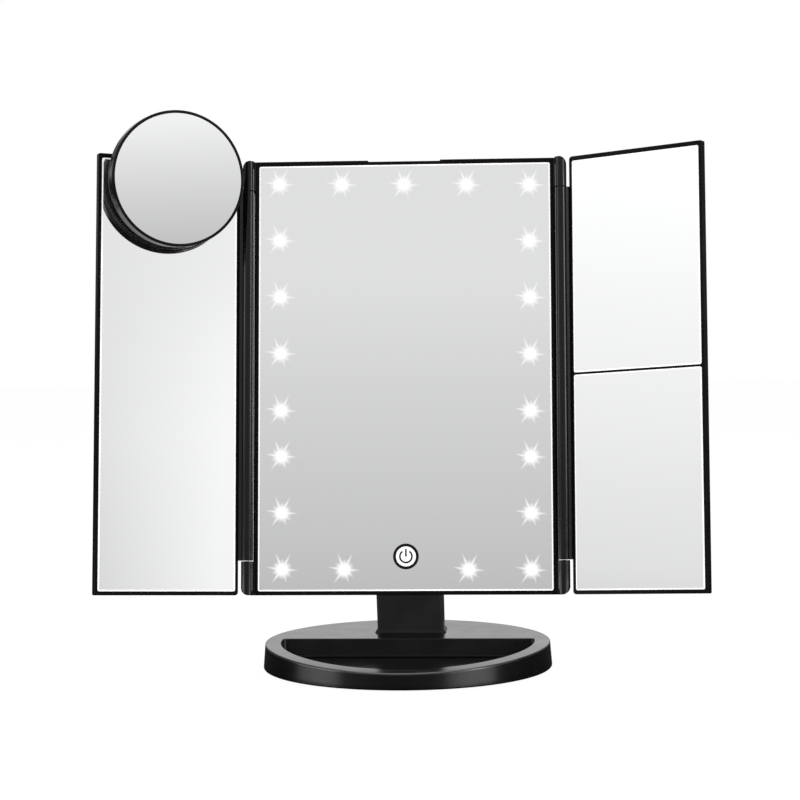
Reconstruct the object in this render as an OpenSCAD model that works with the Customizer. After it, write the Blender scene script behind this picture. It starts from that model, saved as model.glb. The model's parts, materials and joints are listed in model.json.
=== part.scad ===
// Trifold vanity mirror on a round base with a tray.
// A tilting head holds a lit centre mirror and two folding wings. The left wing carries
// a lift-off magnifying mirror, the right wing has two panes, and the back has a battery bay.
// Origin: centre of the base on the table. +X to the viewer's right, +Y to the back, +Z up.

/* [Base] */
// Diameter of the base at its foot
base_d = 161; // [156:1:175]
// Height of the flat rear half of the base above its pad
base_h = 14; // [13:0.5:18]
// Inward lean of the base's side from foot to top
base_lean = 1; // [0.2:0.1:2]
// Radius of the arc on which the top falls away to the front
base_arc_r = 800; // [600:50:1600]
// Distance behind the centre where the top starts to fall
base_arc_start = 12; // [8:1:16]
// Wall of the base moulding
base_wall = 2.2; // [1.8:0.1:2.4]
// Width of the flat rim between the tray's round edge and the top's edge
tray_rim = 8.8; // [8.5:0.1:13]
// Distance of the tray's straight edge behind the centre
tray_back = 6; // [0:0.5:9]
// Radius of the tray's two corners
tray_corner_r = 2; // [1:0.5:4]
// Height of the tray's floor above the table
tray_floor_z = 4.3; // [4.3:0.1:5.5]
// Thickness of the tray's floor
tray_floor_t = 1.4; // [1.2:0.1:1.5]
// Thickness of the cover that closes the base from below
bottom_cover_t = 1.5; // [1.2:0.1:1.6]
// Thickness of the steel weight behind the tray
weight_t = 6; // [4:0.5:6.5]
// How far the anti-slip pad stands out below the base
pad_proud = 0.8; // [0.5:0.1:1]
// Distance of the anti-slip pad's edge inside the foot's edge
pad_margin = 12.5; // [11.5:0.5:30]

/* [Neck] */
// Width of the neck
neck_w = 38.1; // [38:0.1:44]
// Depth of the neck, which is also the diameter of its knuckle
neck_d = 15; // [14:0.5:16]
// Distance of the neck's front edge behind the centre, where it meets the base
neck_front = 28; // [24:0.5:30]
// Radius of the neck's upright edges
neck_edge_r = 2.5; // [1:0.5:3]
// Wall of the neck
neck_wall = 2; // [1.6:0.1:2.2]
// How far the foot of the neck flares on each side
neck_flare = 1.35; // [0.8:0.05:1.6]

/* [Tilt hinge] */
// Height of the tilt axis above the table
axis_z = 71.5; // [70:0.5:80]
// Distance of the tilt axis behind the face of the centre mirror
axis_depth = 32; // [31:0.5:34]
// Height of the tilt axis above the lower edge of the centre mirror
axis_rise = 32; // [30:0.5:36]
// How far the head leans back in the photograph's pose
head_tilt = 8.2; // [0:0.1:20]
// Width of the neck's knuckle between the bracket's ears
knuckle_w = 28; // [24:1:28]
// Thickness of each ear of the bracket
ear_t = 4; // [3:0.5:4.5]
// Diameter of the tilt bolt
bolt_d = 5; // [4:0.5:6]
// Thickness of a friction washer
washer_t = 0.8; // [0.5:0.1:0.8]

/* [Centre panel] */
// Width of the centre mirror
glass_w = 163.5; // [160:0.5:175]
// Height of all mirrors
glass_h = 239; // [232:1:250]
// Thickness of every flat mirror
glass_t = 2; // [2:0.1:2.2]
// Width of the centre frame beside the mirror
frame_side = 2; // [2:0.1:2.4]
// Width of the centre frame above the mirror
frame_top = 2.3; // [1.8:0.1:3]
// Width of every frame below the mirror
frame_bottom = 1.7; // [1.4:0.1:2.2]
// How far a frame stands proud of its mirror
proud = 0.3; // [0.2:0.1:0.5]
// Depth of the centre frame behind the mirror's face
frame_depth = 8; // [8:0.5:9]
// Depth of the slim part of the head behind the mirror's face
slim_depth = 12; // [12:0.5:13]
// Depth of the raised middle of the head behind the mirror's face
bulge_depth = 18; // [18:0.5:19]
// Width of the finger notch in the top edge
notch_w = 40.8; // [30:0.2:50]
// Depth of the finger notch in the top edge
notch_d = 0.7; // [0.4:0.1:1]

/* [Wings] */
// Distance of each hinge axis outside the centre frame's side
hinge_side = 3.65; // [3.65:0.05:6]
// How far each hinge axis lies in front of the mirror's face
hinge_front = 1.5; // [1.3:0.1:1.8]
// Diameter of the hinge barrels
barrel_d = 6.7; // [6:0.1:6.8]
// Height of each lower end knuckle
lower_knuckle_h = 18.7; // [16:0.1:24]
// Height of each upper end knuckle
upper_knuckle_h = 16.8; // [14:0.1:24]
// Gap that is left between the two wings when they are folded flat
wing_meet = 5.6; // [2:0.1:12]
// Width of the wing frame beside its mirror
wing_side = 1.45; // [1.4:0.05:2]
// Distance of the wing's inner edge from the hinge axis
wing_gap = 4.7; // [4.7:0.1:6]
// Thickness of a wing
wing_t = 6.5; // [6.2:0.1:7.5]
// Width of the divider between the two panes on the right
divider_w = 1.1; // [0.8:0.1:2]
// Forward fold of the left wing in the photograph's pose
left_fold = 22.5; // [0:0.5:60]
// Forward fold of the right wing in the photograph's pose
right_fold = 28.5; // [0:0.5:60]
// Diameter of the wing hinge pins
pin_d = 2; // [1.6:0.1:2.2]
// Length of the wing hinge pins
pin_l = 24; // [20:1:26]

/* [Lamps and key] */
// Distance of the side lamps inside the mirror's side edge
lamp_inset = 12.25; // [11.5:0.25:14]
// Distance of the top row of lamps below the mirror's top edge
lamp_top_drop = 11.4; // [10:0.1:16]
// Height of the bottom row of lamps
lamp_bottom_z = 12.4; // [10:0.1:14]
// Spacing of the side lamps from the top down
lamp_pitch = 31.8; // [30:0.1:33]
// Spacing of the one closer pair of side lamps
lamp_short_pitch = 25.5; // [20:0.1:30]
// Height of the touch key
key_z = 19.4; // [18:0.1:22]
// Diameter of the touch key's electrode
key_d = 15; // [12:0.5:16]

/* [Battery bay] */
// Distance of the battery bay's middle below the top of the raised middle
bay_drop = 62; // [56:1:66]
// Number of cells side by side
cell_count = 4; // [2:1:4]
// Diameter of a cell
cell_d = 10.5; // [10:0.1:10.5]
// Length of a cell's can
cell_l = 43.7; // [42:0.1:44.5]

/* [Magnifier] */
// Radius of the magnifier
disc_r = 37.2; // [34:0.1:38]
// Thickness of the magnifier
disc_t = 12; // [9:0.5:12]
// Distance of its centre from the hinge axis
disc_u = 43.6; // [43:0.1:46]
// Distance of its centre below the top edge of the mirrors
disc_drop = 12.7; // [12:0.1:17]
// Distance of its front rim from the wing's mirror
disc_front = 16.7; // [16.7:0.1:20]
// Forward lean of the magnifier on its suction cup
disc_lean = 5.4; // [2:0.1:5.5]
// Sideways turn of the magnifier on its suction cup
disc_turn = 3.3; // [1:0.1:4]
// Radius of the suction cup
cup_r = 12; // [8:0.5:12]

/* [Hidden] */
$fn = 96;
big = 400;
eps = 0.01;
lap = 1;                // how far a cutter or a joined shape runs past a face

// Clearances
fit = 0.1;              // between flat neighbours, and all round a pane in its recess
running = 0.05;         // radial, shaft in bore
hinge_gap = 0.4;        // between the ends of barrel and knuckle

// Colours
gloss_black = [0.07, 0.07, 0.075];
matt_black = [0.12, 0.12, 0.125];
mirror_grey = [0.86, 0.87, 0.88];
steel = [0.72, 0.72, 0.74];
board_green = [0.1, 0.35, 0.2];

// Base
foot_r = base_d / 2;
top_r = foot_r - base_lean;
tray_r = top_r - tray_rim;
pad_r = foot_r - pad_margin;
base_z0 = pad_proud;
base_top = base_z0 + base_h;
foot_edge_r = 0.8;
base_arc_lift = 0.05;
arc_fine = 720;
tray_wall = 2;
tray_under = tray_floor_z - tray_floor_t;
cover_r = foot_r - 2.5;
cover_top = base_z0 + bottom_cover_t;
pad_recess = 0.6;
base_boss_r = 2.8;
weight_gap = 2;
base_boss_ring = (tray_r + tray_wall + top_r - base_wall) / 2;
base_screw_angles = [45, 135, 225, 315];
base_screw_l = 7;
screw_r = 1.1;
screw_room = 0.5;       // left free beyond a screw's tip
boss_floor = 1;         // left solid beyond a pilot hole
pilot_r = screw_r + running;
screw_hole_r = 1.25;
screw_head_r = 2.1;
screw_head_t = 1;

// Neck
knuckle_r = neck_d / 2;
head_y = -18;
axis_y = head_y + axis_depth * cos(head_tilt) + axis_rise * sin(head_tilt);
head_z = axis_z - axis_rise * cos(head_tilt) + axis_depth * sin(head_tilt);
neck_rise = axis_z - base_top;
// The lean that brings the neck's front face down to neck_front on top of the base
neck_reach = neck_front - axis_y;
neck_len0 = sqrt(neck_rise * neck_rise + neck_reach * neck_reach);
neck_lean = atan2(neck_reach, neck_rise) + asin(knuckle_r / neck_len0);
neck_ledge = 1.5;       // on which the rear cover rests
neck_shoulder = knuckle_r + 1.2;
neck_foot_y = neck_front + knuckle_r / cos(neck_lean);
neck_rear_t = 2;
neck_flare_h = 1.8;
neck_screw_x = 11;
neck_boss_r = 3.2;
neck_boss_h = 10;
neck_cover_screw_s = [16, 46];

// Tilt hinge
bolt_r = bolt_d / 2;
ear_x0 = knuckle_w / 2 + washer_t + 2 * fit;
ear_x1 = ear_x0 + ear_t;
ear_r = knuckle_r;
washer_r = knuckle_r - 0.5;
bracket_plate_t = 2.5;
bracket_w = 2 * ear_x1;
bracket_h = 24;
bracket_corner_r = 2;
bracket_screw_x = 10;
bracket_screw_z = 8;
bracket_screw_l = 7;
bracket_boss_h = 4;
bolt_head_r = 4.5;
bolt_head_t = 2.5;
bolt_socket_r = 1.7;
bolt_socket_d = 1.2;
bolt_end = 1;
spring_washer_t = 1.2;
nut_af = 8;
nut_t = 4;

// Centre panel
shelf_t = 1.8;
shelf_back = glass_t + shelf_t;
frame_w = glass_w + 2 * frame_side;
hinge_x = frame_w / 2 + hinge_side;
frame_z0 = -frame_bottom;
frame_z1 = glass_h + frame_top;
frame_wall = 2;
frame_inner_r = 1;
glass_corner_r = 1;
outline_r = 1.2;
cover_wall = 2;
cover_edge_r = 3;
bulge_side = 22.75;
bulge_w = frame_w - 2 * bulge_side;
bulge_z0 = 6;
bulge_z1 = glass_h - 33;
bulge_slope = 6;
cover_screw_x = frame_w / 2 - frame_wall - 3.2;
cover_screw_end = 24;
cover_screw_zs = [cover_screw_end, glass_h / 2, glass_h - cover_screw_end];
cover_boss_r = 3;
cover_screw_sink = 1;
frame_boss_r = 2.5;

// Wings
knuckle_end_r = 4.5;
barrel_r = barrel_d / 2;
knuckle_x1 = hinge_x + barrel_r;
pin_r = pin_d / 2;
barrel_z0 = frame_z0 + lower_knuckle_h + hinge_gap;
barrel_z1 = frame_z1 - upper_knuckle_h - hinge_gap;
wing_z0 = -frame_bottom;
wing_z1 = glass_h + frame_top - 0.1;
wing_glass_u = wing_gap + wing_side;
wing_glass_w = hinge_x - wing_meet / 2 - wing_gap - 2 * wing_side;
wing_u1 = wing_glass_u + wing_glass_w + wing_side;
wing_v0 = hinge_front - proud;
wing_glass_v = hinge_front;
wing_floor_v = wing_glass_v + glass_t;
wing_floor_t = 1.2;
wing_split_v = wing_floor_v + wing_floor_t;
wing_v1 = wing_v0 + wing_t;
wing_back_r = 2.2;
wing_back_wall = 1.1;
wing_inner_r = 1.8;
wing_outer_r = 0.8;
web_v0 = -0.5;
web_v1 = 3.2;
wing_rib_w = 1.2;
wing_rib_zs = [for (part = [1:4]) wing_z0 + part * (wing_z1 - wing_z0) / 5];
divider_z = glass_h / 2;
snap_slot_h = 3.5;
snap_slot_d = 0.6;
snap_slot_zs = [5.3, glass_h - 14.3];

// Lamps and key
lamp_x = glass_w / 2 - lamp_inset;
lamp_mid_x = lamp_x / 2;
lamp_top_z = glass_h - lamp_top_drop;
lamp_hole_r = 3;
lamp_size = [3.5, 1.5, 2.8];
lower_pitch = (lamp_top_z - 4 * lamp_pitch - lamp_short_pitch - lamp_bottom_z) / 2;
side_zs = concat([for (i = [0:4]) lamp_top_z - i * lamp_pitch],
                 [for (i = [2:-1:0]) lamp_bottom_z + i * lower_pitch]);
lamp_places = concat([for (z = side_zs, side = [-1, 1]) [side * lamp_x, z]],
                     [for (side = [-1, 0, 1]) [side * lamp_mid_x, lamp_top_z]],
                     [for (side = [-1, 1]) [side * lamp_mid_x, lamp_bottom_z]]);
board_margin = 5.3;
board_t = 1;
board_outer_r = 1;
board_inner_r = 2;
board_back = shelf_back + board_t;
key_foil_t = 0.3;
key_hole_gap = 0.5;
key_contact_w = 8;
key_contact_h = 6;
control_w = 62;
control_x = 20;
control_z0 = 5.2;
control_z1 = key_z - 0.2;
control_y = 8.5;
control_t = 1.2;
usb_size = [7.5, 2.6, 5.4];
usb_x = 40;
usb_gap = 0.3;
usb_wall = 0.4;
usb_z0 = cover_wall - 1.2;

// Battery bay
cell_gap = 0.7;
cell_pitch = cell_d + cell_gap;
bay_z = bulge_z1 - bay_drop;
bay_w = cell_count * cell_pitch + cell_gap;
contact_t = 0.5;
contact_margin = 0.75;
spring_l = 4;
spring_r = [4, 2.2];    // at its contact and at the cell
nub_l = 0.9;
nub_r = 1.9;
bay_end_gap = 0.3;
bay_side_gap = 1.1;
bay_l = cell_l + nub_l + spring_l + 2 * contact_t + bay_end_gap;
bay_wall = 1.4;
door_t = 1.2;
bay_floor_y = bulge_depth - door_t - cell_d - bay_side_gap;
bay_floor_t = 1;
cell_y = bay_floor_y + cell_d / 2 + fit;
door_lap = 3;
door_w = bay_w + 2 * door_lap;
door_l = bay_l + 2 * door_lap;
door_gap = 0.3;

// Magnifier
disc_z = glass_h - disc_drop;
disc_rim = 1.1;
disc_glass_t = 3;
disc_lip = 0.4;
disc_curve_r = 420;
disc_split_share = 0.6;
disc_split = disc_t * disc_split_share;
disc_shelf = 1.5;
disc_back_wall = 1;
disc_back_t = 1.5;
disc_edge_r = 1.3;
disc_back_r = 2.2;
cup_top_r = 7;
cup_t = 1.2;
cup_lip = 0.4;

// ---------- Shared shapes ----------

// Rectangle from (x0, y0) to (x1, y1) with one radius on its left corners and one on its right
module outline(x0, x1, y0, y1, r_left, r_right) {
    translate([x0 + r_left, y0]) square([x1 - x0 - r_left - r_right, y1 - y0]);
    translate([x0, y0 + r_left]) square([r_left + eps, y1 - y0 - 2 * r_left]);
    translate([x1 - r_right - eps, y0 + r_right]) square([r_right + eps, y1 - y0 - 2 * r_right]);
    for (y = [y0 + r_left, y1 - r_left]) translate([x0 + r_left, y]) circle(r_left, $fn = 48);
    for (y = [y0 + r_right, y1 - r_right]) translate([x1 - r_right, y]) circle(r_right, $fn = 48);
}

// Extrudes an X-Z outline from y0 to y1
module upright(y0, y1) {
    translate([0, y1, 0]) rotate([90, 0, 0]) linear_extrude(y1 - y0) children();
}

// Extrudes a Y-Z outline from x0 to x1
module sideways(x0, x1) {
    translate([x0, 0, 0]) rotate([90, 0, 90]) linear_extrude(x1 - x0) children();
}

// Extrudes an X-Y outline from z0 to z1
module rising(z0, z1) {
    translate([0, 0, z0]) linear_extrude(z1 - z0) children();
}

// Rectangle from a0 to a1 whose far side, at b1, has rounded corners
module far_rounded(a0, a1, b0, b1, r) {
    translate([a0, b0]) square([a1 - a0, b1 - b0 - r]);
    translate([a0 + r, b0]) square([a1 - a0 - 2 * r, b1 - b0]);
    for (a = [a0 + r, a1 - r]) translate([a, b1 - r]) circle(r, $fn = 48);
}

// Trapezium from a0 to a1 at b0, drawn in by slope on both sides at b1
module tapered(a0, a1, b0, b1, slope) {
    polygon([[a0, b0], [a1, b0], [a1 - slope, b1], [a0 + slope, b1]]);
}

// Swaps the two axes of an outline
module swapped() {
    mirror([1, -1, 0]) children();
}

// Slab with an X-Z outline whose edges are rounded on its back face
module back_rounded_slab(x0, x1, z0, z1, y0, y1, corner_r, edge_r) {
    intersection() {
        upright(y0, y1) outline(x0, x1, z0, z1, corner_r, corner_r);
        rising(z0 - 1, z1 + 1) far_rounded(x0, x1, y0, y1, edge_r);
        sideways(x0 - 1, x1 + 1) swapped() far_rounded(z0, z1, y0, y1, edge_r);
    }
}

// Low pyramid from y0 to y1 with sloping sides
module raised_block(x0, x1, z0, z1, y0, y1, slope) {
    intersection() {
        rising(z0, z1) tapered(x0, x1, y0, y1, slope);
        sideways(x0, x1) swapped() tapered(z0, z1, y0, y1, slope);
    }
}

// Cylinder along +Y from y0 to y1
module rod_y(r, y0, y1) {
    translate([0, y1, 0]) rotate([90, 0, 0]) cylinder(h = y1 - y0, r = r);
}

// Cylinder along +X from x0 to x1
module rod_x(r, x0, x1) {
    translate([x0, 0, 0]) rotate([0, 90, 0]) cylinder(h = x1 - x0, r = r);
}

// Pan-head screw standing on its head: the head's inner face at z = 0, the shank up to l
module screw(l) {
    slot_l = 2.4;
    slot_w = 0.6;
    slot_d = 0.6;
    cylinder(h = l, r = screw_r);
    difference() {
        translate([0, 0, -screw_head_t]) cylinder(h = screw_head_t, r = screw_head_r - fit);
        for (turn = [0, 90]) rotate(turn)
            translate([-slot_l / 2, -slot_w / 2, -screw_head_t - 1]) cube([slot_l, slot_w, slot_d + 1]);
    }
}

// The same screw driven forwards: the head's inner face at y_head, the tip at y_tip
module screw_y(y_tip, y_head) {
    translate([0, y_head, 0]) rotate([90, 0, 0]) screw(y_head - y_tip);
}

// The same screw driven upwards from a recess that starts at z0
module screw_up(z0, z_tip) {
    translate([0, 0, z0 + screw_head_t]) screw(z_tip - z0 - screw_head_t);
}

// ---------- Places ----------

module on_head() {
    translate([0, head_y, head_z]) rotate([-head_tilt, 0, 0]) children();
}

// Wing frame of reference: X runs outwards from the hinge axis, Y to the back of the wing
module on_right_wing() {
    on_head() translate([hinge_x, -hinge_front, 0]) rotate([0, 0, -right_fold]) children();
}

module on_left_wing() {
    on_head() mirror([1, 0, 0]) translate([hinge_x, -hinge_front, 0])
        rotate([0, 0, -left_fold]) children();
}

module on_magnifier() {
    on_left_wing() translate([disc_u, hinge_front - disc_front, disc_z])
        rotate([disc_lean, 0, -disc_turn]) children();
}

// Neck frame of reference: origin on the tilt axis, Z up along the neck
module on_neck() {
    translate([0, axis_y, axis_z]) rotate([neck_lean, 0, 0]) children();
}

// ---------- Base ----------

// Outside of the base, drawn in by inset on every side but the foot
module base_body(inset) {
    difference() {
        rotate_extrude() base_profile(inset);
        sideways(-foot_r - lap, foot_r + lap) above_arc(inset);
    }
}

module base_profile(inset) {
    r0 = foot_r - inset;
    r1 = top_r - inset;
    top = base_top - inset;
    polygon([[0, base_z0], [r0 - foot_edge_r, base_z0], [r0, base_z0 + foot_edge_r],
             [r1, top], [0, top]]);
}

// What the top's arc takes away in front, seen from the side; its crest stands a hair above the
// level rear half, so the two surfaces cross
module above_arc(inset) {
    crest = base_top - inset + base_arc_lift;
    difference() {
        translate([-foot_r - lap, base_z0]) square([foot_r + lap + base_arc_start, base_h + lap]);
        translate([base_arc_start, crest - base_arc_r]) circle(base_arc_r, $fn = arc_fine);
    }
}

// The tray's plan: a round front edge and a straight back edge with small corners
module tray_plan(grow) {
    r = tray_r + grow;
    back = tray_back + grow;
    c = tray_corner_r + grow;
    corner_x = sqrt((r - c) * (r - c) - (back - c) * (back - c));
    tangent_x = corner_x * r / (r - c);
    tangent_y = (back - c) * r / (r - c);
    intersection() {
        circle(r, $fn = 360);
        translate([-r, -r]) square([2 * r, r + tangent_y]);
    }
    translate([-corner_x, 0]) square([2 * corner_x, back]);
    polygon([[-tangent_x, tangent_y], [tangent_x, tangent_y], [corner_x, back - c],
             [-corner_x, back - c]]);
    for (side = [-1, 1]) translate([side * corner_x, back - c]) circle(c, $fn = 48);
}

module at_base_screws() {
    for (a = base_screw_angles) rotate(a) translate([base_boss_ring, 0, 0]) children();
}

module at_neck_screws() {
    for (side = [-1, 1]) translate([side * neck_screw_x, neck_foot_y, 0]) children();
}

module base_shell() {
    color(gloss_black) difference() {
        base_body(0);
        rising(tray_floor_z, base_top + 1) tray_plan(0);
        difference() {
            base_body(base_wall);
            rising(tray_under, base_top) tray_plan(tray_wall);
            at_base_screws() rising(cover_top + fit, base_top) circle(base_boss_r);
        }
        rising(base_z0 - 1, cover_top + fit) circle(cover_r + fit, $fn = 360);
        at_base_screws() rising(base_z0, base_z0 + base_screw_l) circle(pilot_r);
        at_neck_screws() rising(base_z0, base_top + 1) circle(screw_hole_r);
    }
}

module base_bottom_cover() {
    color(matt_black) difference() {
        rising(base_z0, cover_top) circle(cover_r, $fn = 360);
        rising(base_z0 - 1, base_z0 + pad_recess) circle(pad_r + fit, $fn = 360);
        at_base_screws() rising(base_z0 - 1, cover_top + 1) circle(screw_hole_r);
        at_base_screws() rising(base_z0 - 1, base_z0 + screw_head_t) circle(screw_head_r);
    }
}

module base_weight() {
    edge = tray_back + 2 * tray_wall;
    r = base_boss_ring - base_boss_r - weight_gap;
    color(steel) rising(cover_top, cover_top + weight_t) intersection() {
        circle(r, $fn = 360);
        translate([-r, edge]) square([2 * r, r]);
    }
}

module anti_slip_pad() {
    color([0.05, 0.05, 0.05]) rising(0, base_z0 + pad_recess) circle(pad_r, $fn = 360);
}

module base_screws() {
    color(steel) at_base_screws() screw_up(base_z0, base_z0 + base_screw_l - screw_room);
}

// ---------- Neck ----------

// Solid outside of the neck, up to its shoulders and round its knuckle
module neck_body() {
    long = neck_rise / cos(neck_lean) + neck_d;
    intersection() {
        union() {
            on_neck() rising(-long, -neck_shoulder)
                outline(-neck_w / 2, neck_w / 2, -knuckle_r, knuckle_r, neck_edge_r, neck_edge_r);
            on_neck() translate([-knuckle_w / 2, -knuckle_r, -neck_shoulder - lap])
                cube([knuckle_w, neck_d, neck_shoulder + lap]);
            on_neck() rod_x(knuckle_r, -knuckle_w / 2, knuckle_w / 2);
        }
        translate([-big / 2, -big / 2, base_top]) cube(big);
    }
}

// Sloping skirt round the neck's foot
module neck_skirt() {
    half_d = knuckle_r / cos(neck_lean);
    z1 = base_top + neck_flare_h;
    intersection() {
        upright(0, 2 * neck_foot_y)
            tapered(-neck_w / 2 - neck_flare, neck_w / 2 + neck_flare, base_top, z1, neck_flare);
        sideways(-neck_w, neck_w)
            tapered(neck_foot_y - half_d - neck_flare, neck_foot_y + half_d + neck_flare / 2,
                    base_top, z1, neck_flare);
    }
}

// The slot at the back of the neck that its rear cover fills
module neck_rear_space(gap) {
    s0 = -(neck_rise - neck_flare_h - neck_wall) / cos(neck_lean);
    on_neck() translate([-neck_w / 2 + neck_wall - gap, knuckle_r - neck_rear_t - gap, s0 - gap])
        cube([neck_w - 2 * neck_wall + 2 * gap, neck_d, -s0 - neck_shoulder - neck_wall + 2 * gap]);
}

module neck_hollow() {
    s0 = -(neck_rise - neck_flare_h - neck_wall - neck_ledge) / cos(neck_lean);
    inner_w = neck_w - 2 * neck_wall - 2 * neck_ledge;
    on_neck() translate([-inner_w / 2, -knuckle_r + neck_wall, s0])
        cube([inner_w, neck_d, -s0 - neck_shoulder - neck_wall - neck_ledge]);
}

module at_neck_cover_screws() {
    on_neck() for (s = neck_cover_screw_s) translate([0, 0, -s]) children();
}

module neck_front_shell() {
    color(matt_black) difference() {
        union() {
            difference() {
                union() {
                    neck_body();
                    neck_skirt();
                }
                neck_rear_space(fit);
                neck_hollow();
            }
            intersection() {
                at_neck_screws() rising(base_top, base_top + neck_boss_h) circle(neck_boss_r);
                neck_body();
            }
            at_neck_cover_screws() rod_y(neck_boss_r, -knuckle_r + eps, knuckle_r - neck_rear_t - fit);
        }
        on_neck() rod_x(bolt_r + running, -neck_w, neck_w);
        at_neck_screws() rising(base_top - lap, base_top + neck_boss_h - boss_floor) circle(pilot_r);
        at_neck_cover_screws() rod_y(pilot_r, -2 * screw_room, knuckle_r);
        neck_rear_space(fit);
    }
}

module neck_rear_cover() {
    color(matt_black) difference() {
        intersection() {
            neck_rear_space(0);
            neck_body();
        }
        at_neck_cover_screws() rod_y(screw_hole_r, 0, neck_d);
        at_neck_cover_screws() rod_y(screw_head_r, knuckle_r - screw_head_t, neck_d);
    }
}

module neck_cover_screws() {
    color(steel) at_neck_cover_screws() screw_y(-screw_room, knuckle_r - screw_head_t);
}

module neck_base_screws() {
    z_head = base_top - base_wall - screw_head_t;
    color(steel) at_neck_screws()
        screw_up(z_head, base_top + neck_boss_h - boss_floor - screw_room);
}

// ---------- Tilt hinge ----------

module at_bracket_screws() {
    for (x = [-1, 1], z = [-1, 1])
        translate([x * bracket_screw_x, 0, axis_rise + z * bracket_screw_z]) children();
}

module hinge_bracket() {
    plate_y1 = bulge_depth + bracket_plate_t;
    color(steel) on_head() difference() {
        union() {
            upright(bulge_depth, plate_y1)
                outline(-bracket_w / 2, bracket_w / 2, axis_rise - bracket_h / 2,
                        axis_rise + bracket_h / 2, bracket_corner_r, bracket_corner_r);
            for (side = [-1, 1]) mirror([side > 0 ? 0 : 1, 0, 0]) ear();
        }
        translate([0, axis_depth, axis_rise]) rod_x(bolt_r + running, -bracket_w, bracket_w);
        at_bracket_screws() rod_y(screw_hole_r, bulge_depth - lap, plate_y1 + lap);
        at_bracket_screws() rod_y(screw_head_r, plate_y1 - screw_head_t, plate_y1 + lap);
    }
}

module ear() {
    translate([0, axis_depth, axis_rise]) rod_x(ear_r, ear_x0, ear_x1);
    translate([ear_x0, bulge_depth + lap, axis_rise - ear_r])
        cube([ear_t, axis_depth - bulge_depth - lap, 2 * ear_r]);
}

module bracket_screws() {
    color(steel) on_head() at_bracket_screws()
        screw_y(bulge_depth - bracket_screw_l, bulge_depth + bracket_plate_t - screw_head_t);
}

module on_axis() {
    on_head() translate([0, axis_depth, axis_rise]) children();
}

module tilt_bolt() {
    color(steel) on_axis() {
        rod_x(bolt_r, -ear_x1 - eps, ear_x1 + spring_washer_t + nut_t + bolt_end);
        difference() {
            rod_x(bolt_head_r, -ear_x1 - bolt_head_t, -ear_x1);
            translate([-ear_x1 - bolt_head_t - lap, 0, 0]) rotate([0, 90, 0])
                cylinder(h = bolt_socket_d + lap, r = bolt_socket_r, $fn = 6);
        }
    }
}

module friction_washers() {
    color([0.85, 0.84, 0.8]) on_axis() for (side = [-1, 1]) difference() {
        rod_x(washer_r, side * (ear_x0 - fit / 2 - washer_t / 2) - washer_t / 2,
              side * (ear_x0 - fit / 2 - washer_t / 2) + washer_t / 2);
        rod_x(bolt_r + running, -ear_x1, ear_x1);
    }
}

module spring_washer() {
    color(steel) on_axis() difference() {
        rod_x(bolt_head_r, ear_x1, ear_x1 + spring_washer_t);
        rod_x(bolt_r + running, ear_x0, ear_x1 + 2 * spring_washer_t);
    }
}

module tilt_nut() {
    x0 = ear_x1 + spring_washer_t;
    color(steel) on_axis() difference() {
        translate([x0, 0, 0]) rotate([0, 90, 0])
            cylinder(h = nut_t, r = nut_af / sqrt(3), $fn = 6);
        rod_x(bolt_r + running, x0 - lap, x0 + nut_t + lap);
    }
}

// ---------- Centre panel ----------

module at_cover_screws() {
    for (side = [-1, 1], z = cover_screw_zs) translate([side * cover_screw_x, 0, z]) children();
}

// One end knuckle on the right, with its outer corner rounded; low says which end
module end_knuckle(low) {
    z0 = low ? frame_z0 : barrel_z1 + hinge_gap;
    z1 = low ? barrel_z0 - hinge_gap : frame_z1;
    x0 = frame_w / 2 - frame_side;
    intersection() {
        rising(z0, z1) knuckle_plan(x0);
        upright(-big, big) knuckle_outline(x0, z0, z1, low);
    }
}

// Seen from above: the barrel's round, a bridge to the frame and a block behind both
module knuckle_plan(x0) {
    translate([hinge_x, -hinge_front]) circle(barrel_r);
    translate([x0, -proud]) square([hinge_x - x0, frame_depth + proud]);
    translate([hinge_x - eps, -hinge_front]) square([barrel_r + eps, frame_depth + hinge_front]);
}

// Seen from the front: a block with one rounded outer corner
module knuckle_outline(x0, z0, z1, low) {
    r = knuckle_end_r;
    translate([x0, z0]) square([knuckle_x1 - r - x0, z1 - z0]);
    translate([x0, low ? z0 + r : z0]) square([knuckle_x1 - x0, z1 - z0 - r]);
    translate([knuckle_x1 - r, low ? z0 + r : z1 - r]) circle(r, $fn = 48);
}

module at_both_sides() {
    children();
    mirror([1, 0, 0]) children();
}

// Pin holes along the hinge axes, in the knuckles
module pin_places(r, gap) {
    translate([hinge_x, -hinge_front, barrel_z0 - pin_l / 2 - gap])
        cylinder(h = pin_l + 2 * gap, r = r);
    translate([hinge_x, -hinge_front, barrel_z1 - pin_l / 2 - gap])
        cylinder(h = pin_l + 2 * gap, r = r);
}

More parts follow.
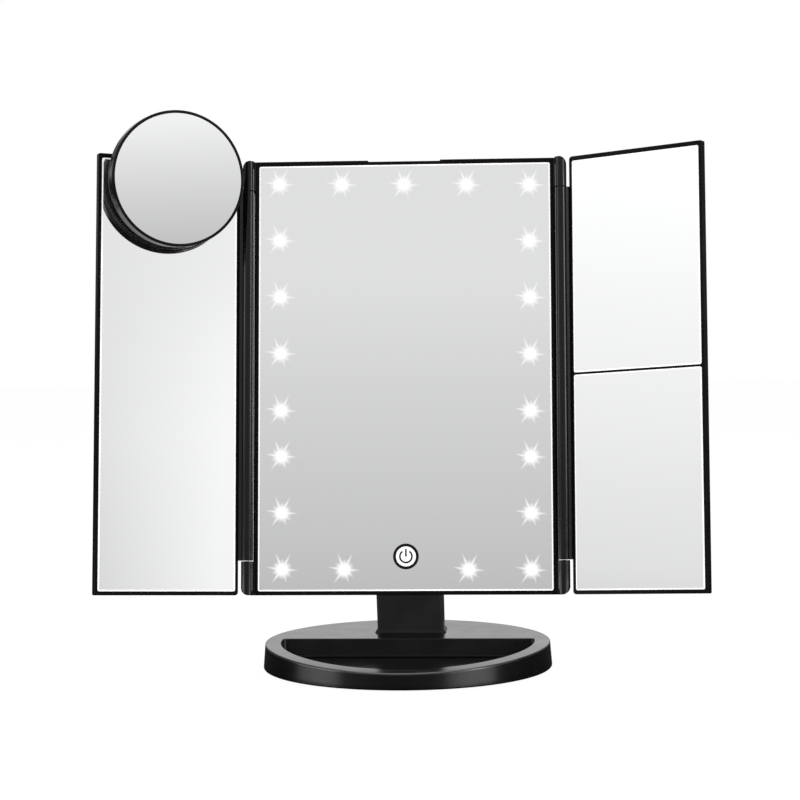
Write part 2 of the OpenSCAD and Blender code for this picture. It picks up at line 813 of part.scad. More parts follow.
module centre_frame() {
    half = frame_w / 2;
    in_r = glass_corner_r + fit;
    color(gloss_black) on_head() difference() {
        union() {
            upright(-proud, frame_depth) outline(-half, half, frame_z0, frame_z1, outline_r, outline_r);
            at_both_sides() end_knuckle(true);
            at_both_sides() end_knuckle(false);
        }
        upright(-lap, glass_t)
            outline(-glass_w / 2 - fit, glass_w / 2 + fit, -fit, glass_h + fit, in_r, in_r);
        difference() {
            upright(shelf_back, frame_depth + lap)
                outline(-half + frame_wall, half - frame_wall, frame_z0 + frame_wall,
                        frame_z1 - frame_wall, frame_inner_r, frame_inner_r);
            at_cover_screws() rod_y(frame_boss_r, 0, frame_depth);
        }
        for (p = lamp_places) translate([p[0], 0, p[1]]) rod_y(lamp_hole_r, 0, shelf_back + lap);
        translate([0, 0, key_z]) rod_y(key_d / 2 + key_hole_gap, 0, shelf_back + lap);
        at_cover_screws() rod_y(pilot_r, glass_t + boss_floor, frame_depth + lap);
        at_both_sides() pin_places(pin_r + running, hinge_gap);
        translate([-notch_w / 2, -lap, frame_z1 - notch_d]) cube([notch_w, big, notch_d + lap]);
        at_usb() usb_block(usb_gap, -lap, 2 * frame_wall);
    }
}

// The rear cover's outside, drawn in by inset
module rear_cover_body(inset) {
    half = frame_w / 2 - inset;
    z0 = frame_z0 + inset;
    z1 = frame_z1 - notch_d - inset;
    back_rounded_slab(-half, half, z0, z1, frame_depth - (inset > 0 ? lap : 0), slim_depth - inset,
                      outline_r, cover_edge_r - inset + eps);
    raised_block(-bulge_w / 2 + inset, bulge_w / 2 - inset, bulge_z0 + inset, bulge_z1 - inset,
                 slim_depth - inset - lap, bulge_depth - inset, bulge_slope);
}

module bay_box(grow, y0, y1) {
    translate([-bay_w / 2 - grow, y0, bay_z - bay_l / 2 - grow])
        cube([bay_w + 2 * grow, y1 - y0, bay_l + 2 * grow]);
}

module centre_rear_cover() {
    screw_floor = slim_depth - cover_screw_sink - screw_head_t;
    color(matt_black) on_head() difference() {
        union() {
            difference() {
                rear_cover_body(0);
                rear_cover_body(cover_wall);
            }
            at_cover_screws() rod_y(cover_boss_r, frame_depth, slim_depth - lap);
            at_bracket_screws()
                rod_y(cover_boss_r, bulge_depth - cover_wall - bracket_boss_h, bulge_depth - lap);
            bay_box(bay_wall, bay_floor_y - bay_floor_t, bulge_depth - lap);
        }
        at_cover_screws() rod_y(screw_hole_r, 0, slim_depth + lap);
        at_cover_screws() rod_y(screw_head_r, screw_floor, slim_depth + lap);
        at_bracket_screws() rod_y(pilot_r, 0, bulge_depth + lap);
        bay_box(0, bay_floor_y, bulge_depth + lap);
        bay_box(door_lap + door_gap, bulge_depth - door_t - fit, bulge_depth + lap);
        at_usb() usb_block(usb_gap, -lap, 2 * cover_wall);
    }
}

module rear_cover_screws() {
    color(steel) on_head() at_cover_screws()
        screw_y(glass_t + boss_floor + screw_room, slim_depth - cover_screw_sink - screw_head_t);
}

module centre_glass() {
    color(mirror_grey) on_head() upright(0, glass_t)
        outline(-glass_w / 2, glass_w / 2, 0, glass_h, glass_corner_r, glass_corner_r);
}

// ---------- Lamps, key and boards ----------

module led_board() {
    x1 = lamp_x + board_margin;
    x0 = lamp_x - board_margin;
    color(board_green) on_head() difference() {
        upright(shelf_back, board_back)
            outline(-x1, x1, lamp_bottom_z - board_margin, lamp_top_z + board_margin,
                    board_outer_r, board_outer_r);
        upright(shelf_back - lap, board_back + lap)
            outline(-x0, x0, lamp_bottom_z + board_margin, lamp_top_z - board_margin,
                    board_inner_r, board_inner_r);
        translate([0, 0, key_z]) rod_y(key_d / 2 + 2 * key_hole_gap, 0, board_back + lap);
    }
}

module led_lamps() {
    color([1, 1, 0.92]) on_head() for (p = lamp_places)
        translate([p[0] - lamp_size[0] / 2, shelf_back - lamp_size[1], p[1] - lamp_size[2] / 2])
            cube(lamp_size);
}

module touch_pad() {
    color([0.8, 0.5, 0.25]) on_head() translate([0, 0, key_z])
        rod_y(key_d / 2, glass_t, glass_t + key_foil_t);
}

module touch_contact() {
    y0 = glass_t + key_foil_t;
    color([0.3, 0.3, 0.32]) on_head()
        translate([-key_contact_w / 2, y0, control_z1 - key_contact_h])
            cube([key_contact_w, control_y - y0, key_contact_h]);
}

module control_board() {
    color(board_green) on_head()
        translate([control_x - control_w / 2, control_y, control_z0])
            cube([control_w, control_t, control_z1 - control_z0]);
}

module at_usb() {
    translate([usb_x, control_y - usb_size[1] / 2, frame_z0]) children();
}

// Upright block round the inlet's axis, grown on its four sides, between two heights
module usb_block(grow, z0, z1) {
    w = usb_size[0] + 2 * grow;
    d = usb_size[1] + 2 * grow;
    translate([-w / 2, -d / 2, z0]) cube([w, d, z1 - z0]);
}

module usb_socket() {
    top = control_z0 - frame_z0 + usb_size[2];
    color(steel) on_head() at_usb() difference() {
        usb_block(0, usb_z0, top);
        usb_block(-usb_wall, usb_z0 - lap, top - lap);
    }
}

// ---------- Battery bay ----------

// x of each cell, from left to right
cell_xs = [for (i = [0:cell_count - 1]) (i - (cell_count - 1) / 2) * cell_pitch];
cell_z0 = bay_z - bay_l / 2 + contact_t;
cell_z1 = bay_z + bay_l / 2 - contact_t;

// Turns every second cell end for end
module at_cells() {
    for (i = [0:cell_count - 1]) translate([cell_xs[i], cell_y, bay_z])
        rotate([i % 2 == 0 ? 0 : 180, 0, 0]) translate([0, 0, cell_z0 - bay_z]) children();
}

module battery_cells() {
    color([0.2, 0.5, 0.35]) on_head() at_cells() translate([0, 0, spring_l]) {
        cylinder(h = cell_l, r = cell_d / 2);
        cylinder(h = cell_l + nub_l, r = nub_r);
    }
}

module battery_springs() {
    color(steel) on_head() at_cells() cylinder(h = spring_l, r1 = spring_r[0], r2 = spring_r[1]);
}

module battery_contacts() {
    size = cell_d - 2 * contact_margin;
    color([0.8, 0.8, 0.78]) on_head() for (x = cell_xs, z = [cell_z0 - contact_t, cell_z1])
        translate([x - size / 2, bay_floor_y, z]) cube([size, size, contact_t]);
}

module battery_door() {
    grip_w = 18;
    grip_h = 1.2;
    grip_d = 0.5;
    grip_pitch = 2.6;
    grip_edge = 6;
    grip_count = 4;
    color(matt_black) on_head() difference() {
        upright(bulge_depth - door_t, bulge_depth)
            outline(-door_w / 2, door_w / 2, bay_z - door_l / 2, bay_z + door_l / 2, 1, 1);
        for (i = [0:grip_count - 1])
            translate([-grip_w / 2, bulge_depth - grip_d, bay_z + door_l / 2 - grip_edge - i * grip_pitch])
                cube([grip_w, lap, grip_h]);
    }
}

// ---------- Wings ----------

module wing_frame(divided) {
    color(gloss_black) {
        difference() {
            union() {
                upright(wing_v0, wing_split_v)
                    outline(wing_gap, wing_u1, wing_z0, wing_z1, wing_inner_r, wing_outer_r);
                translate([0, 0, barrel_z0]) cylinder(h = barrel_z1 - barrel_z0, r = barrel_r);
                translate([0, web_v0, barrel_z0])
                    cube([wing_gap + lap / 2, web_v1 - web_v0, barrel_z1 - barrel_z0]);
            }
            wing_recesses(divided);
            for (z = [barrel_z0, barrel_z1]) translate([0, 0, z - pin_l / 2 - hinge_gap])
                cylinder(h = pin_l + 2 * hinge_gap, r = pin_r + running);
            for (z = snap_slot_zs) translate([wing_u1 - snap_slot_d, wing_floor_v, z])
                cube([lap, wing_floor_t - snap_slot_d / 2, snap_slot_h]);
        }
    }
}

// One recess for a whole pane, or two with the divider left standing between them
module wing_recesses(divided) {
    r = glass_corner_r;
    u0 = wing_glass_u - fit;
    u1 = wing_glass_u + wing_glass_w + fit;
    half = divider_w / 2;
    spans = divided ? [[-fit, divider_z - half], [divider_z + half, glass_h + fit]]
                    : [[-fit, glass_h + fit]];
    for (s = spans) upright(wing_v0 - lap, wing_floor_v) outline(u0, u1, s[0], s[1], r, r);
}

module wing_back() {
    inset = wing_back_wall;
    color(matt_black) {
        difference() {
            wing_back_slab(0, wing_split_v, wing_v1);
            wing_back_slab(inset, wing_split_v - lap, wing_v1 - inset);
        }
        for (z = wing_rib_zs) translate([wing_gap + inset - eps, wing_split_v, z])
            cube([wing_u1 - wing_gap - 2 * inset + 2 * eps, wing_t / 2 - inset, wing_rib_w]);
    }
}

module wing_back_slab(inset, v0, v1) {
    back_rounded_slab(wing_gap + inset, wing_u1 - inset, wing_z0 + inset, wing_z1 - inset,
                      v0, v1, wing_outer_r, wing_back_r - inset + eps);
}

module wing_glass(z0, z1) {
    r = glass_corner_r;
    color(mirror_grey) upright(wing_glass_v, wing_floor_v)
        outline(wing_glass_u, wing_glass_u + wing_glass_w, z0, z1, r, r);
}

module hinge_pins() {
    color(steel) pin_places(pin_r, 0);
}

module left_wing_frame() { on_left_wing() wing_frame(false); }
module right_wing_frame() { on_right_wing() wing_frame(true); }
module left_wing_back() { on_left_wing() wing_back(); }
module right_wing_back() { on_right_wing() wing_back(); }
module left_wing_glass() { on_left_wing() wing_glass(0, glass_h); }
module right_glass_lower() { on_right_wing() wing_glass(0, divider_z - divider_w / 2 - fit); }
module right_glass_upper() { on_right_wing() wing_glass(divider_z + divider_w / 2 + fit, glass_h); }
module left_hinge_pins() { on_head() mirror([1, 0, 0]) hinge_pins(); }
module right_hinge_pins() { on_head() hinge_pins(); }

// ---------- Magnifier ----------

// Turns an outline drawn with its axis up into a body round the magnifier's axis, front at y = 0
module turned() {
    rotate([-90, 0, 0]) rotate_extrude($fn = 180) children();
}

// Half section of the whole casing: rounded front and back edges
module disc_section() {
    square([disc_r - disc_back_r, disc_t]);
    translate([0, disc_edge_r]) square([disc_r, disc_t - disc_edge_r - disc_back_r]);
    square([disc_r - disc_edge_r, disc_t / 2]);
    translate([disc_r - disc_edge_r, disc_edge_r]) circle(disc_edge_r, $fn = 48);
    translate([disc_r - disc_back_r, disc_t - disc_back_r]) circle(disc_back_r, $fn = 48);
}

module magnifier_ring() {
    glass_r = disc_r - disc_rim;
    color(gloss_black) on_magnifier() turned() difference() {
        disc_section();
        translate([-lap, -lap]) square([glass_r + fit + lap, disc_lip + disc_glass_t + lap]);
        square([glass_r - disc_shelf, disc_split]);
        translate([-lap, disc_split]) square([disc_r + 2 * lap, disc_t]);
    }
}

// Concave mirror: its face dips on a large sphere
module magnifier_glass() {
    glass_r = disc_r - disc_rim;
    dip = disc_curve_r - sqrt(disc_curve_r * disc_curve_r - glass_r * glass_r);
    color(mirror_grey) on_magnifier() turned() difference() {
        translate([0, disc_lip]) square([glass_r, disc_glass_t]);
        translate([0, disc_lip + dip - disc_curve_r]) circle(disc_curve_r, $fn = arc_fine);
    }
}

module magnifier_back() {
    inner_r = disc_r - disc_rim - disc_back_wall;
    color(matt_black) on_magnifier() turned() difference() {
        disc_section();
        translate([-lap, -lap]) square([disc_r + 2 * lap, disc_split + lap]);
        translate([-lap, -lap]) square([inner_r + lap, disc_t - disc_back_t + lap]);
    }
}

// Rubber cup: wide on the wing's mirror, cut off where the magnifier's back begins
module suction_cup() {
    color([0.09, 0.09, 0.09]) difference() {
        on_left_wing() translate([disc_u, hinge_front - fit, disc_z]) rotate([90, 0, 0])
            rotate_extrude() polygon([[0, 0], [cup_r - cup_lip, 0], [cup_r, cup_lip / 2], [cup_r, cup_lip],
                                      [cup_top_r + cup_t, cup_t + cup_lip], [cup_top_r, 2 * cup_t],
                                      [cup_top_r, disc_front], [0, disc_front]]);
        on_magnifier() translate([-big / 2, disc_t - big, -big / 2]) cube(big);
    }
}

base_shell();
base_bottom_cover();
base_weight();
anti_slip_pad();
base_screws();
neck_front_shell();
neck_rear_cover();
neck_cover_screws();
neck_base_screws();
hinge_bracket();
bracket_screws();
tilt_bolt();
friction_washers();
spring_washer();
tilt_nut();
centre_frame();
centre_rear_cover();
rear_cover_screws();
centre_glass();
led_board();
led_lamps();
touch_pad();
touch_contact();
control_board();
usb_socket();
battery_cells();
battery_springs();
battery_contacts();
battery_door();
left_hinge_pins();
right_hinge_pins();
left_wing_frame();
left_wing_back();
left_wing_glass();
right_wing_frame();
right_wing_back();
right_glass_upper();
right_glass_lower();
magnifier_ring();
magnifier_glass();
magnifier_back();
suction_cup();
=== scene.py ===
import json
import math

import bmesh
import bpy
from mathutils import Matrix, Vector
from mathutils.geometry import delaunay_2d_cdt


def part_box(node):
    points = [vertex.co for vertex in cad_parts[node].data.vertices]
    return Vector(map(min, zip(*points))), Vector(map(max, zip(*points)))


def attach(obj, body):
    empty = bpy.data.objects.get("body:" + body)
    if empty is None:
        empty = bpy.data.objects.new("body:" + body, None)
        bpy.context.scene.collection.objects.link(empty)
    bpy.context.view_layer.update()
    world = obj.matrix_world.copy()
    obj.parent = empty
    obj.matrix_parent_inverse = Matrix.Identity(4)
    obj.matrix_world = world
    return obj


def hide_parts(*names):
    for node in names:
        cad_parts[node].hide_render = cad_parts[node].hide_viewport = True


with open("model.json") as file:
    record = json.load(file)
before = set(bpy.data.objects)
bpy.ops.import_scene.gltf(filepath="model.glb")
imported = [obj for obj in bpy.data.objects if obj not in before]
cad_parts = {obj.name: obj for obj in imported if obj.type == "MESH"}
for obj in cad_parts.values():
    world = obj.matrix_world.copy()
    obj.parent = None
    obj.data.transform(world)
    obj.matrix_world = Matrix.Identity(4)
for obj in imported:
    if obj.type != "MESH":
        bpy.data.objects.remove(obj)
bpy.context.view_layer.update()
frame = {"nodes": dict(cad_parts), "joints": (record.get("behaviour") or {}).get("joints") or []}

# Lengths are in millimetres unless a comment says metres. Each piece is drawn in the frame of its
# body, and its points are then turned into the row frame in metres.
MM = 0.001
nodes = frame["nodes"]
joints = {joint["name"]: joint for joint in frame["joints"]}


# ---------- Frames of reference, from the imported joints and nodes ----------

def matrix_of(right, back, up, origin):
    """Millimetres along three directions from an origin, to metres in the row frame."""
    matrix = Matrix((right, back, up)).transposed().to_4x4()
    matrix.translation = origin
    return matrix @ Matrix.Scale(MM, 4)


def extent(points):
    """Lowest and highest corner of some points."""
    return (Vector([min(point[axis] for point in points) for axis in range(3)]),
            Vector([max(point[axis] for point in points) for axis in range(3)]))


def span(node, matrix):
    """Lowest and highest corner of a CAD node, in millimetres of that frame of reference."""
    inverse = matrix.inverted()
    return extent([inverse @ vertex.co for vertex in nodes[node].data.vertices])


def head_matrix():
    """X to the right, Y to the back, Z up the head, from the middle of the mirror's lower edge."""
    up = Vector(joints["left_wing_hinge"]["axis"])
    right = Vector((1, 0, 0))
    tilted = matrix_of(right, up.cross(right), up, Vector((0, 0, 0)))
    low = span("centre_glass", tilted)[0]
    tilted.translation = tilted.to_3x3() @ Vector((0, low.y, low.z))
    return tilted


HEAD = head_matrix()
HEAD_UP = HEAD.to_3x3() @ Vector((0, 0, 1 / MM))
HEAD_BACK = HEAD.to_3x3() @ Vector((0, 1 / MM, 0))


def wing_matrix(side, joint):
    """X outwards from the hinge axis, Y to the back of the wing; side is -1 left and 1 right."""
    fold = math.radians(-joint["range_deg"][0])
    turn = Matrix.Rotation(-side * fold, 3, HEAD_UP)
    origin = Vector(joint["pos_m"])
    return matrix_of(turn @ Vector((side, 0, 0)), turn @ HEAD_BACK, HEAD_UP, origin)


LEFT = wing_matrix(-1, joints["left_wing_hinge"])
RIGHT = wing_matrix(1, joints["right_wing_hinge"])
ROW = Matrix.Scale(MM, 4)

DISC_LEAN = math.radians(5.4)
DISC_TURN = math.radians(3.3)


def disc_matrix():
    """The magnifier's own frame: origin at the middle of its front rim, Y to its back."""
    lean = Matrix.Rotation(-DISC_TURN, 4, "Z") @ Matrix.Rotation(DISC_LEAN, 4, "X")
    low, high = span("magnifier_ring", LEFT @ lean)
    middle = (low + high) / 2
    return LEFT @ lean @ Matrix.Translation((middle.x, low.y, middle.z))


DISC = disc_matrix()


# ---------- Materials ----------

WHITE = (1, 1, 1, 1)
SILVER = 0.87
GLASS_HAZE = 0.003


def material(name, finish):
    made = bpy.data.materials.new(name)
    made.use_nodes = True
    tree = made.node_tree
    shader = tree.nodes["Principled BSDF"]
    finish(tree, shader)
    return made


def feed(tree, socket, value):
    """Links a socket to an output of a node, or sets it to a fixed value."""
    if isinstance(value, bpy.types.NodeSocket):
        tree.links.new(value, socket)
    else:
        socket.default_value = value


def put(tree, node, **values):
    """Feeds inputs of a node by their names: base_color is its input Base Color."""
    for name, value in values.items():
        socket = next(socket for socket in node.inputs
                      if socket.enabled and socket.name.lower().replace(" ", "_") == name)
        feed(tree, socket, value)


def add_node(tree, kind, output, **values):
    """A new node with its inputs fed; gives one of its outputs."""
    made = tree.nodes.new("ShaderNode" + kind)
    put(tree, made, **values)
    return made.outputs[output]


def grey(level, tint=(1.0, 1.0, 1.03)):
    return (level * tint[0], level * tint[1], level * tint[2], 1)


def noise(tree, scale, detail, stretch=(1, 1, 1)):
    """Noise in object coordinates, which stay with a piece when its body moves."""
    place = add_node(tree, "TexCoord", "Object")
    stretched = add_node(tree, "Mapping", "Vector", vector=place, scale=stretch)
    return add_node(tree, "TexNoise", "Fac", vector=stretched, scale=scale, detail=detail)


def ramp(tree, value, low, high, start=0.35, end=0.65, smooth="LINEAR"):
    """Maps a value that runs from start to end to the numbers from low to high."""
    made = tree.nodes.new("ShaderNodeMapRange")
    made.interpolation_type = smooth
    put(tree, made, value=value, from_min=start, from_max=end, to_min=low, to_max=high)
    return made.outputs["Result"]


def blend_colours(tree, value, first, second):
    """Passes from one colour to another with a noise value."""
    made = tree.nodes.new("ShaderNodeValToRGB")
    for stop, place, colour in zip(made.color_ramp.elements, (0.35, 0.65), (first, second)):
        stop.position = place
        stop.color = colour
    tree.links.new(value, made.inputs["Fac"])
    return made.outputs["Color"]


def number(tree, operation, first, second=None, clamp=False):
    """One Math node; an input is a socket or a number."""
    made = tree.nodes.new("ShaderNodeMath")
    made.operation = operation
    made.use_clamp = clamp
    for socket, value in zip(made.inputs, (first, second)):
        if value is not None:
            feed(tree, socket, value)
    return made.outputs[0]


def mix_colours(tree, share, first, second):
    """Blends two colours, each a socket or a fixed colour."""
    made = tree.nodes.new("ShaderNodeMix")
    made.data_type = "RGBA"
    put(tree, made, factor=share, a=first, b=second)
    return made.outputs["Result"]


def mix_light(tree, share, first, second):
    """Blends two shaders."""
    made = tree.nodes.new("ShaderNodeMixShader")
    for socket, value in zip(made.inputs, (share, first, second)):
        feed(tree, socket, value)
    return made.outputs["Shader"]


def split(tree, vector):
    """The X, Y and Z sockets of a vector."""
    made = tree.nodes.new("ShaderNodeSeparateXYZ")
    tree.links.new(vector, made.inputs["Vector"])
    return made.outputs


def bump(tree, shader, height, depth, strength):
    normal = add_node(tree, "Bump", "Normal", strength=strength, distance=depth, height=height)
    put(tree, shader, normal=normal)


def moulded(level, roughness, grain_scale, grain_depth, specular=0.5, haze=0.25):
    """Black moulded plastic: fine grain, a little haze and a slight change of shade."""
    def finish(tree, shader):
        shade = blend_colours(tree, noise(tree, 45, 2), grey(level * 0.85), grey(level * 1.15))
        spread = ramp(tree, noise(tree, 70, 4), roughness * (1 - haze), roughness * (1 + haze))
        put(tree, shader, specular_ior_level=specular, ior=1.5, base_color=shade, roughness=spread)
        bump(tree, shader, noise(tree, grain_scale, 2), grain_depth, 0.6)
    return finish


def mirrored(level):
    """Silvered glass: a faint change of clearness, as glass has when it is wiped."""
    def finish(tree, shader):
        wiped = noise(tree, 22, 3, (1, 1, 0.35))
        put(tree, shader, metallic=1.0, base_color=grey(level, (1.0, 1.004, 1.008)),
            roughness=ramp(tree, wiped, 0.0, GLASS_HAZE))
    return finish


def brushed(level, roughness, along):
    """Bare metal with fine lines along one direction."""
    def finish(tree, shader):
        lines = noise(tree, 900, 3, along)
        put(tree, shader, metallic=1.0,
            base_color=blend_colours(tree, lines, grey(level * 0.8), grey(level * 1.1)),
            roughness=ramp(tree, lines, roughness * 0.7, roughness * 1.3))
        bump(tree, shader, lines, 0.00001, 0.4)
    return finish


def rubbery(level):
    def finish(tree, shader):
        put(tree, shader, base_color=grey(level), specular_ior_level=0.3,
            roughness=ramp(tree, noise(tree, 300, 4), 0.55, 0.8))
        bump(tree, shader, noise(tree, 1500, 3), 0.00003, 0.7)
    return finish


def coloured(first, second, roughness, scale, metallic=0.0, depth=0.00001):
    """Two close shades in soft patches."""
    def finish(tree, shader):
        patches = noise(tree, scale, 4)
        put(tree, shader, metallic=metallic,
            base_color=blend_colours(tree, patches, first, second),
            roughness=ramp(tree, patches, roughness * 0.8, roughness * 1.2))
        bump(tree, shader, patches, depth, 0.5)
    return finish


def frosted_with_painted_glow(colour, specular, scale, roughness, glow):
    """Ground glass with a painted glow: its emission makes it brighter than the light on it would.
    """
    def finish(tree, shader):
        grit = noise(tree, scale, 2)
        put(tree, shader, base_color=colour, emission_color=WHITE, specular_ior_level=specular,
            roughness=ramp(tree, grit, *roughness), emission_strength=ramp(tree, grit, *glow))
    return finish


BASE_GLOSS = material("base_gloss", moulded(0.004, 0.21, 2200, 0.000002, 0.5, 0.12))
# The base's side: a darker, duller copy of the base's gloss, painted shade that keeps the side near
# black
BASE_SIDE = material("base_side", moulded(0.002, 0.25, 2200, 0.000002, 0.2, 0.12))
TRAY_WALL = material("tray_wall", moulded(0.009, 0.32, 2600, 0.000003, 0.45, 0.12))
TRAY_MATT = material("tray_matt", moulded(0.0004, 0.2, 2600, 0.000003, 0.26, 0.12))
FRAME_BLACK = material("frame_black", moulded(0.004, 0.2, 1200, 0.000002, 0.05))
HINGE_GLOSS = material("hinge_gloss", moulded(0.003, 0.17, 1200, 0.000001, 0.24))
RIM_GLOSS = material("rim_gloss", moulded(0.004, 0.2, 1200, 0.000002, 0.12))
SATIN = material("satin_black", moulded(0.011, 0.42, 3200, 0.00001, 0.35))
# The neck: a lighter copy of the satin, painted light against the shade that the head casts on it
NECK_SATIN = material("neck_satin", moulded(0.034, 0.38, 2800, 0.000006, 0.3))
MIRROR = material("silvered_glass", mirrored(SILVER))
RUBBER = material("rubber", rubbery(0.012))
STEEL = material("steel", brushed(0.55, 0.3, (1, 1, 0.06)))
SCREW_STEEL = material("screw_steel", brushed(0.5, 0.35, (1, 1, 1)))
SPRING_STEEL = material("spring_steel", brushed(0.6, 0.25, (0.2, 1, 1)))
WASHER = material("washer_nylon", coloured((0.62, 0.6, 0.54, 1), (0.7, 0.68, 0.62, 1), 0.5, 400))
BOARD = material("circuit_board",
                 coloured((0.012, 0.09, 0.035, 1), (0.02, 0.13, 0.05, 1), 0.35, 900))
COPPER = material("copper_foil",
                  coloured((0.68, 0.36, 0.2, 1), (0.78, 0.46, 0.28, 1), 0.3, 500, metallic=1.0))
FOAM = material("contact_foam",
                coloured((0.12, 0.12, 0.13, 1), (0.24, 0.24, 0.25, 1), 0.9, 2500, depth=0.0001))
CELL = material("cell_wrap", coloured((0.03, 0.16, 0.08, 1), (0.045, 0.2, 0.1, 1), 0.28, 200))
INK = material("printed_black", moulded(0.004, 0.4, 4000, 0.000002, 0.2))


def lamp_finish(tree, shader):
    put(tree, shader, base_color=(0.95, 0.93, 0.86, 1), roughness=0.25, emission_color=WHITE,
        emission_strength=ramp(tree, noise(tree, 700, 2), 0.8, 1.0))


LAMP = material("lamp_body", lamp_finish)

# The glow round each lamp, painted on the glass as emission: a soft core where the lamp's light
# shows through, and tapering rays that are painted glints, each with its angle in degrees and its
# length; beyond CLEAR_ZONE from a lamp there is none
CORE_FULL = 2.95
CORE_END = 6.0
CORE_FALL = 1.7
LONG_RAYS = [(-3, 9.1), (62, 10.1), (112, 10.1), (171, 9.2), (232, 9.6), (289, 7.9)]
SHORT_RAYS = [(32, 6.1), (87, 6.2), (145, 6.3), (202, 6.2), (321, 6.9), (349, 6.0)]
LONG_HALF = 0.9
SHORT_HALF = 1.2
RAY_SOFT = 0.48
RAY_LEVEL = 1.73
RAY_FALL = 0.67
CLEAR_ZONE = 9.6
FAR_AWAY = 60.0


def lamp_glow_and_painted_glints(tree):
    """0 to 1: a soft round core of lamp light and its rays of painted glint, from the lamp
    coordinates of the glass.
    """
    def plus(first, second):
        return number(tree, "ADD", first, second)

    def minus(first, second, clamp=False):
        return number(tree, "SUBTRACT", first, second, clamp)

    def times(first, second, clamp=False):
        return number(tree, "MULTIPLY", first, second, clamp)

    source = tree.nodes.new("ShaderNodeUVMap")
    source.uv_map = "lamp_zone"
    x, z, _ = split(tree, source.outputs["UV"])
    radius = number(tree, "SQRT", plus(times(x, x), times(z, z)))
    fall = number(tree, "DIVIDE", minus(CORE_END, radius), CORE_END - CORE_FULL, True)
    glow = number(tree, "POWER", fall, CORE_FALL)
    rays = [(ray, LONG_HALF) for ray in LONG_RAYS] + [(ray, SHORT_HALF) for ray in SHORT_RAYS]
    for (angle, length), half in rays:
        cos, sin = math.cos(math.radians(angle)), math.sin(math.radians(angle))
        along = plus(times(x, cos), times(z, sin))
        across = number(tree, "ABSOLUTE", minus(times(z, cos), times(x, sin)))
        fade = minus(1, number(tree, "DIVIDE", along, length), True)
        reach = plus(times(fade, half), RAY_SOFT)
        side = number(tree, "DIVIDE", minus(reach, across), RAY_SOFT * 2, True)
        ahead = number(tree, "GREATER_THAN", along, 0)
        bright = times(number(tree, "POWER", fade, RAY_FALL), RAY_LEVEL, True)
        glow = number(tree, "MAXIMUM", glow, times(times(side, ahead), bright))
    return glow


def lit_glass(tree, shader):
    """A mirror with the lamps' light painted through it as emission, with painted glints round each
    lamp.
    """
    mirrored(SILVER)(tree, shader)
    light = add_node(tree, "Emission", "Emission", color=WHITE, strength=1.0)
    lit = mix_light(tree, lamp_glow_and_painted_glints(tree), shader.outputs["BSDF"], light)
    put(tree, tree.nodes["Material Output"], surface=lit)


LIT_GLASS = material("lit_glass", lit_glass)
# The ground bevel round a pane, and the disc of the touch key, made a little brighter than the
# mirror by painted glow
GROUND_EDGE = material("ground_edge",
                       frosted_with_painted_glow((0.85, 0.86, 0.87, 1), 0.4, 3000, (0.3, 0.5), (0.5, 0.6)))
KEY_WINDOW = material("key_window",
                      frosted_with_painted_glow((0.8, 0.8, 0.81, 1), 0.3, 2500, (0.25, 0.4), (0.3, 0.36)))


# ---------- Mesh tools ----------

def arc(x, y, radius, start, end, steps=6):
    """Points on an arc, angles in degrees."""
    angles = [math.radians(start + (end - start) * step / steps) for step in range(steps + 1)]
    return [(x + radius * math.cos(a), y + radius * math.sin(a)) for a in angles]


def circle(radius, steps, x=0.0, y=0.0):
    return arc(x, y, radius, 0, 360, steps)[:-1]


LEAST_R = 0.3
SQUARE = ((-1, -1), (1, -1), (1, 1), (-1, 1))


def rounded(radius):
    """A corner radius that never shrinks to nothing."""
    return max(radius, LEAST_R)


def panel(y, x0, x1, z0, z1, r0, r1, notch=None):
    """Outline at depth y, with corner radius r0 at x0 and r1 at x1, and a notch in its top edge."""
    top = []
    if notch:
        half, depth, lip = notch
        top = [(half, z1), (half - lip, z1 - depth), (-half + lip, z1 - depth), (-half, z1)]
    plan = (arc(x0 + r0, z0 + r0, r0, 180, 270) + arc(x1 - r1, z0 + r1, r1, 270, 360)
            + arc(x1 - r1, z1 - r1, r1, 0, 90) + top + arc(x0 + r0, z1 - r0, r0, 90, 180))
    return [(x, y, z) for x, z in plan]


class Shape:
    """Points and faces of one piece, in millimetres."""

    def __init__(self):
        self.points = []
        self.faces = []
        self.kinds = []
        self.kind = 0

    def loop(self, points):
        first = len(self.points)
        self.points.extend(tuple(point) for point in points)
        return list(range(first, len(self.points)))

    def face(self, corners, kind=None):
        self.faces.append(tuple(corners))
        self.kinds.append(self.kind if kind is None else kind)

    def skin(self, low, high, kind=None):
        """Faces between two closed loops with as many points."""
        for here in range(len(low)):
            after = (here + 1) % len(low)
            self.face((low[here], low[after], high[after], high[here]), kind)

    def loft(self, loops, kinds=None, closed=False):
        """Skins loops of points one after the other; closed joins the last to the first."""
        made = [self.loop(points) for points in loops]
        pairs = list(zip(made, made[1:]))
        if closed:
            pairs.append((made[-1], made[0]))
        for place, (low, high) in enumerate(pairs):
            self.skin(low, high, kinds[place] if kinds else None)
        if not closed:
            self.face(reversed(made[0]), kinds[0] if kinds else None)
            self.face(made[-1], kinds[-1] if kinds else None)


def in_scene(name, data):
    made = bpy.data.objects.new(name, data)
    bpy.context.scene.collection.objects.link(made)
    return made


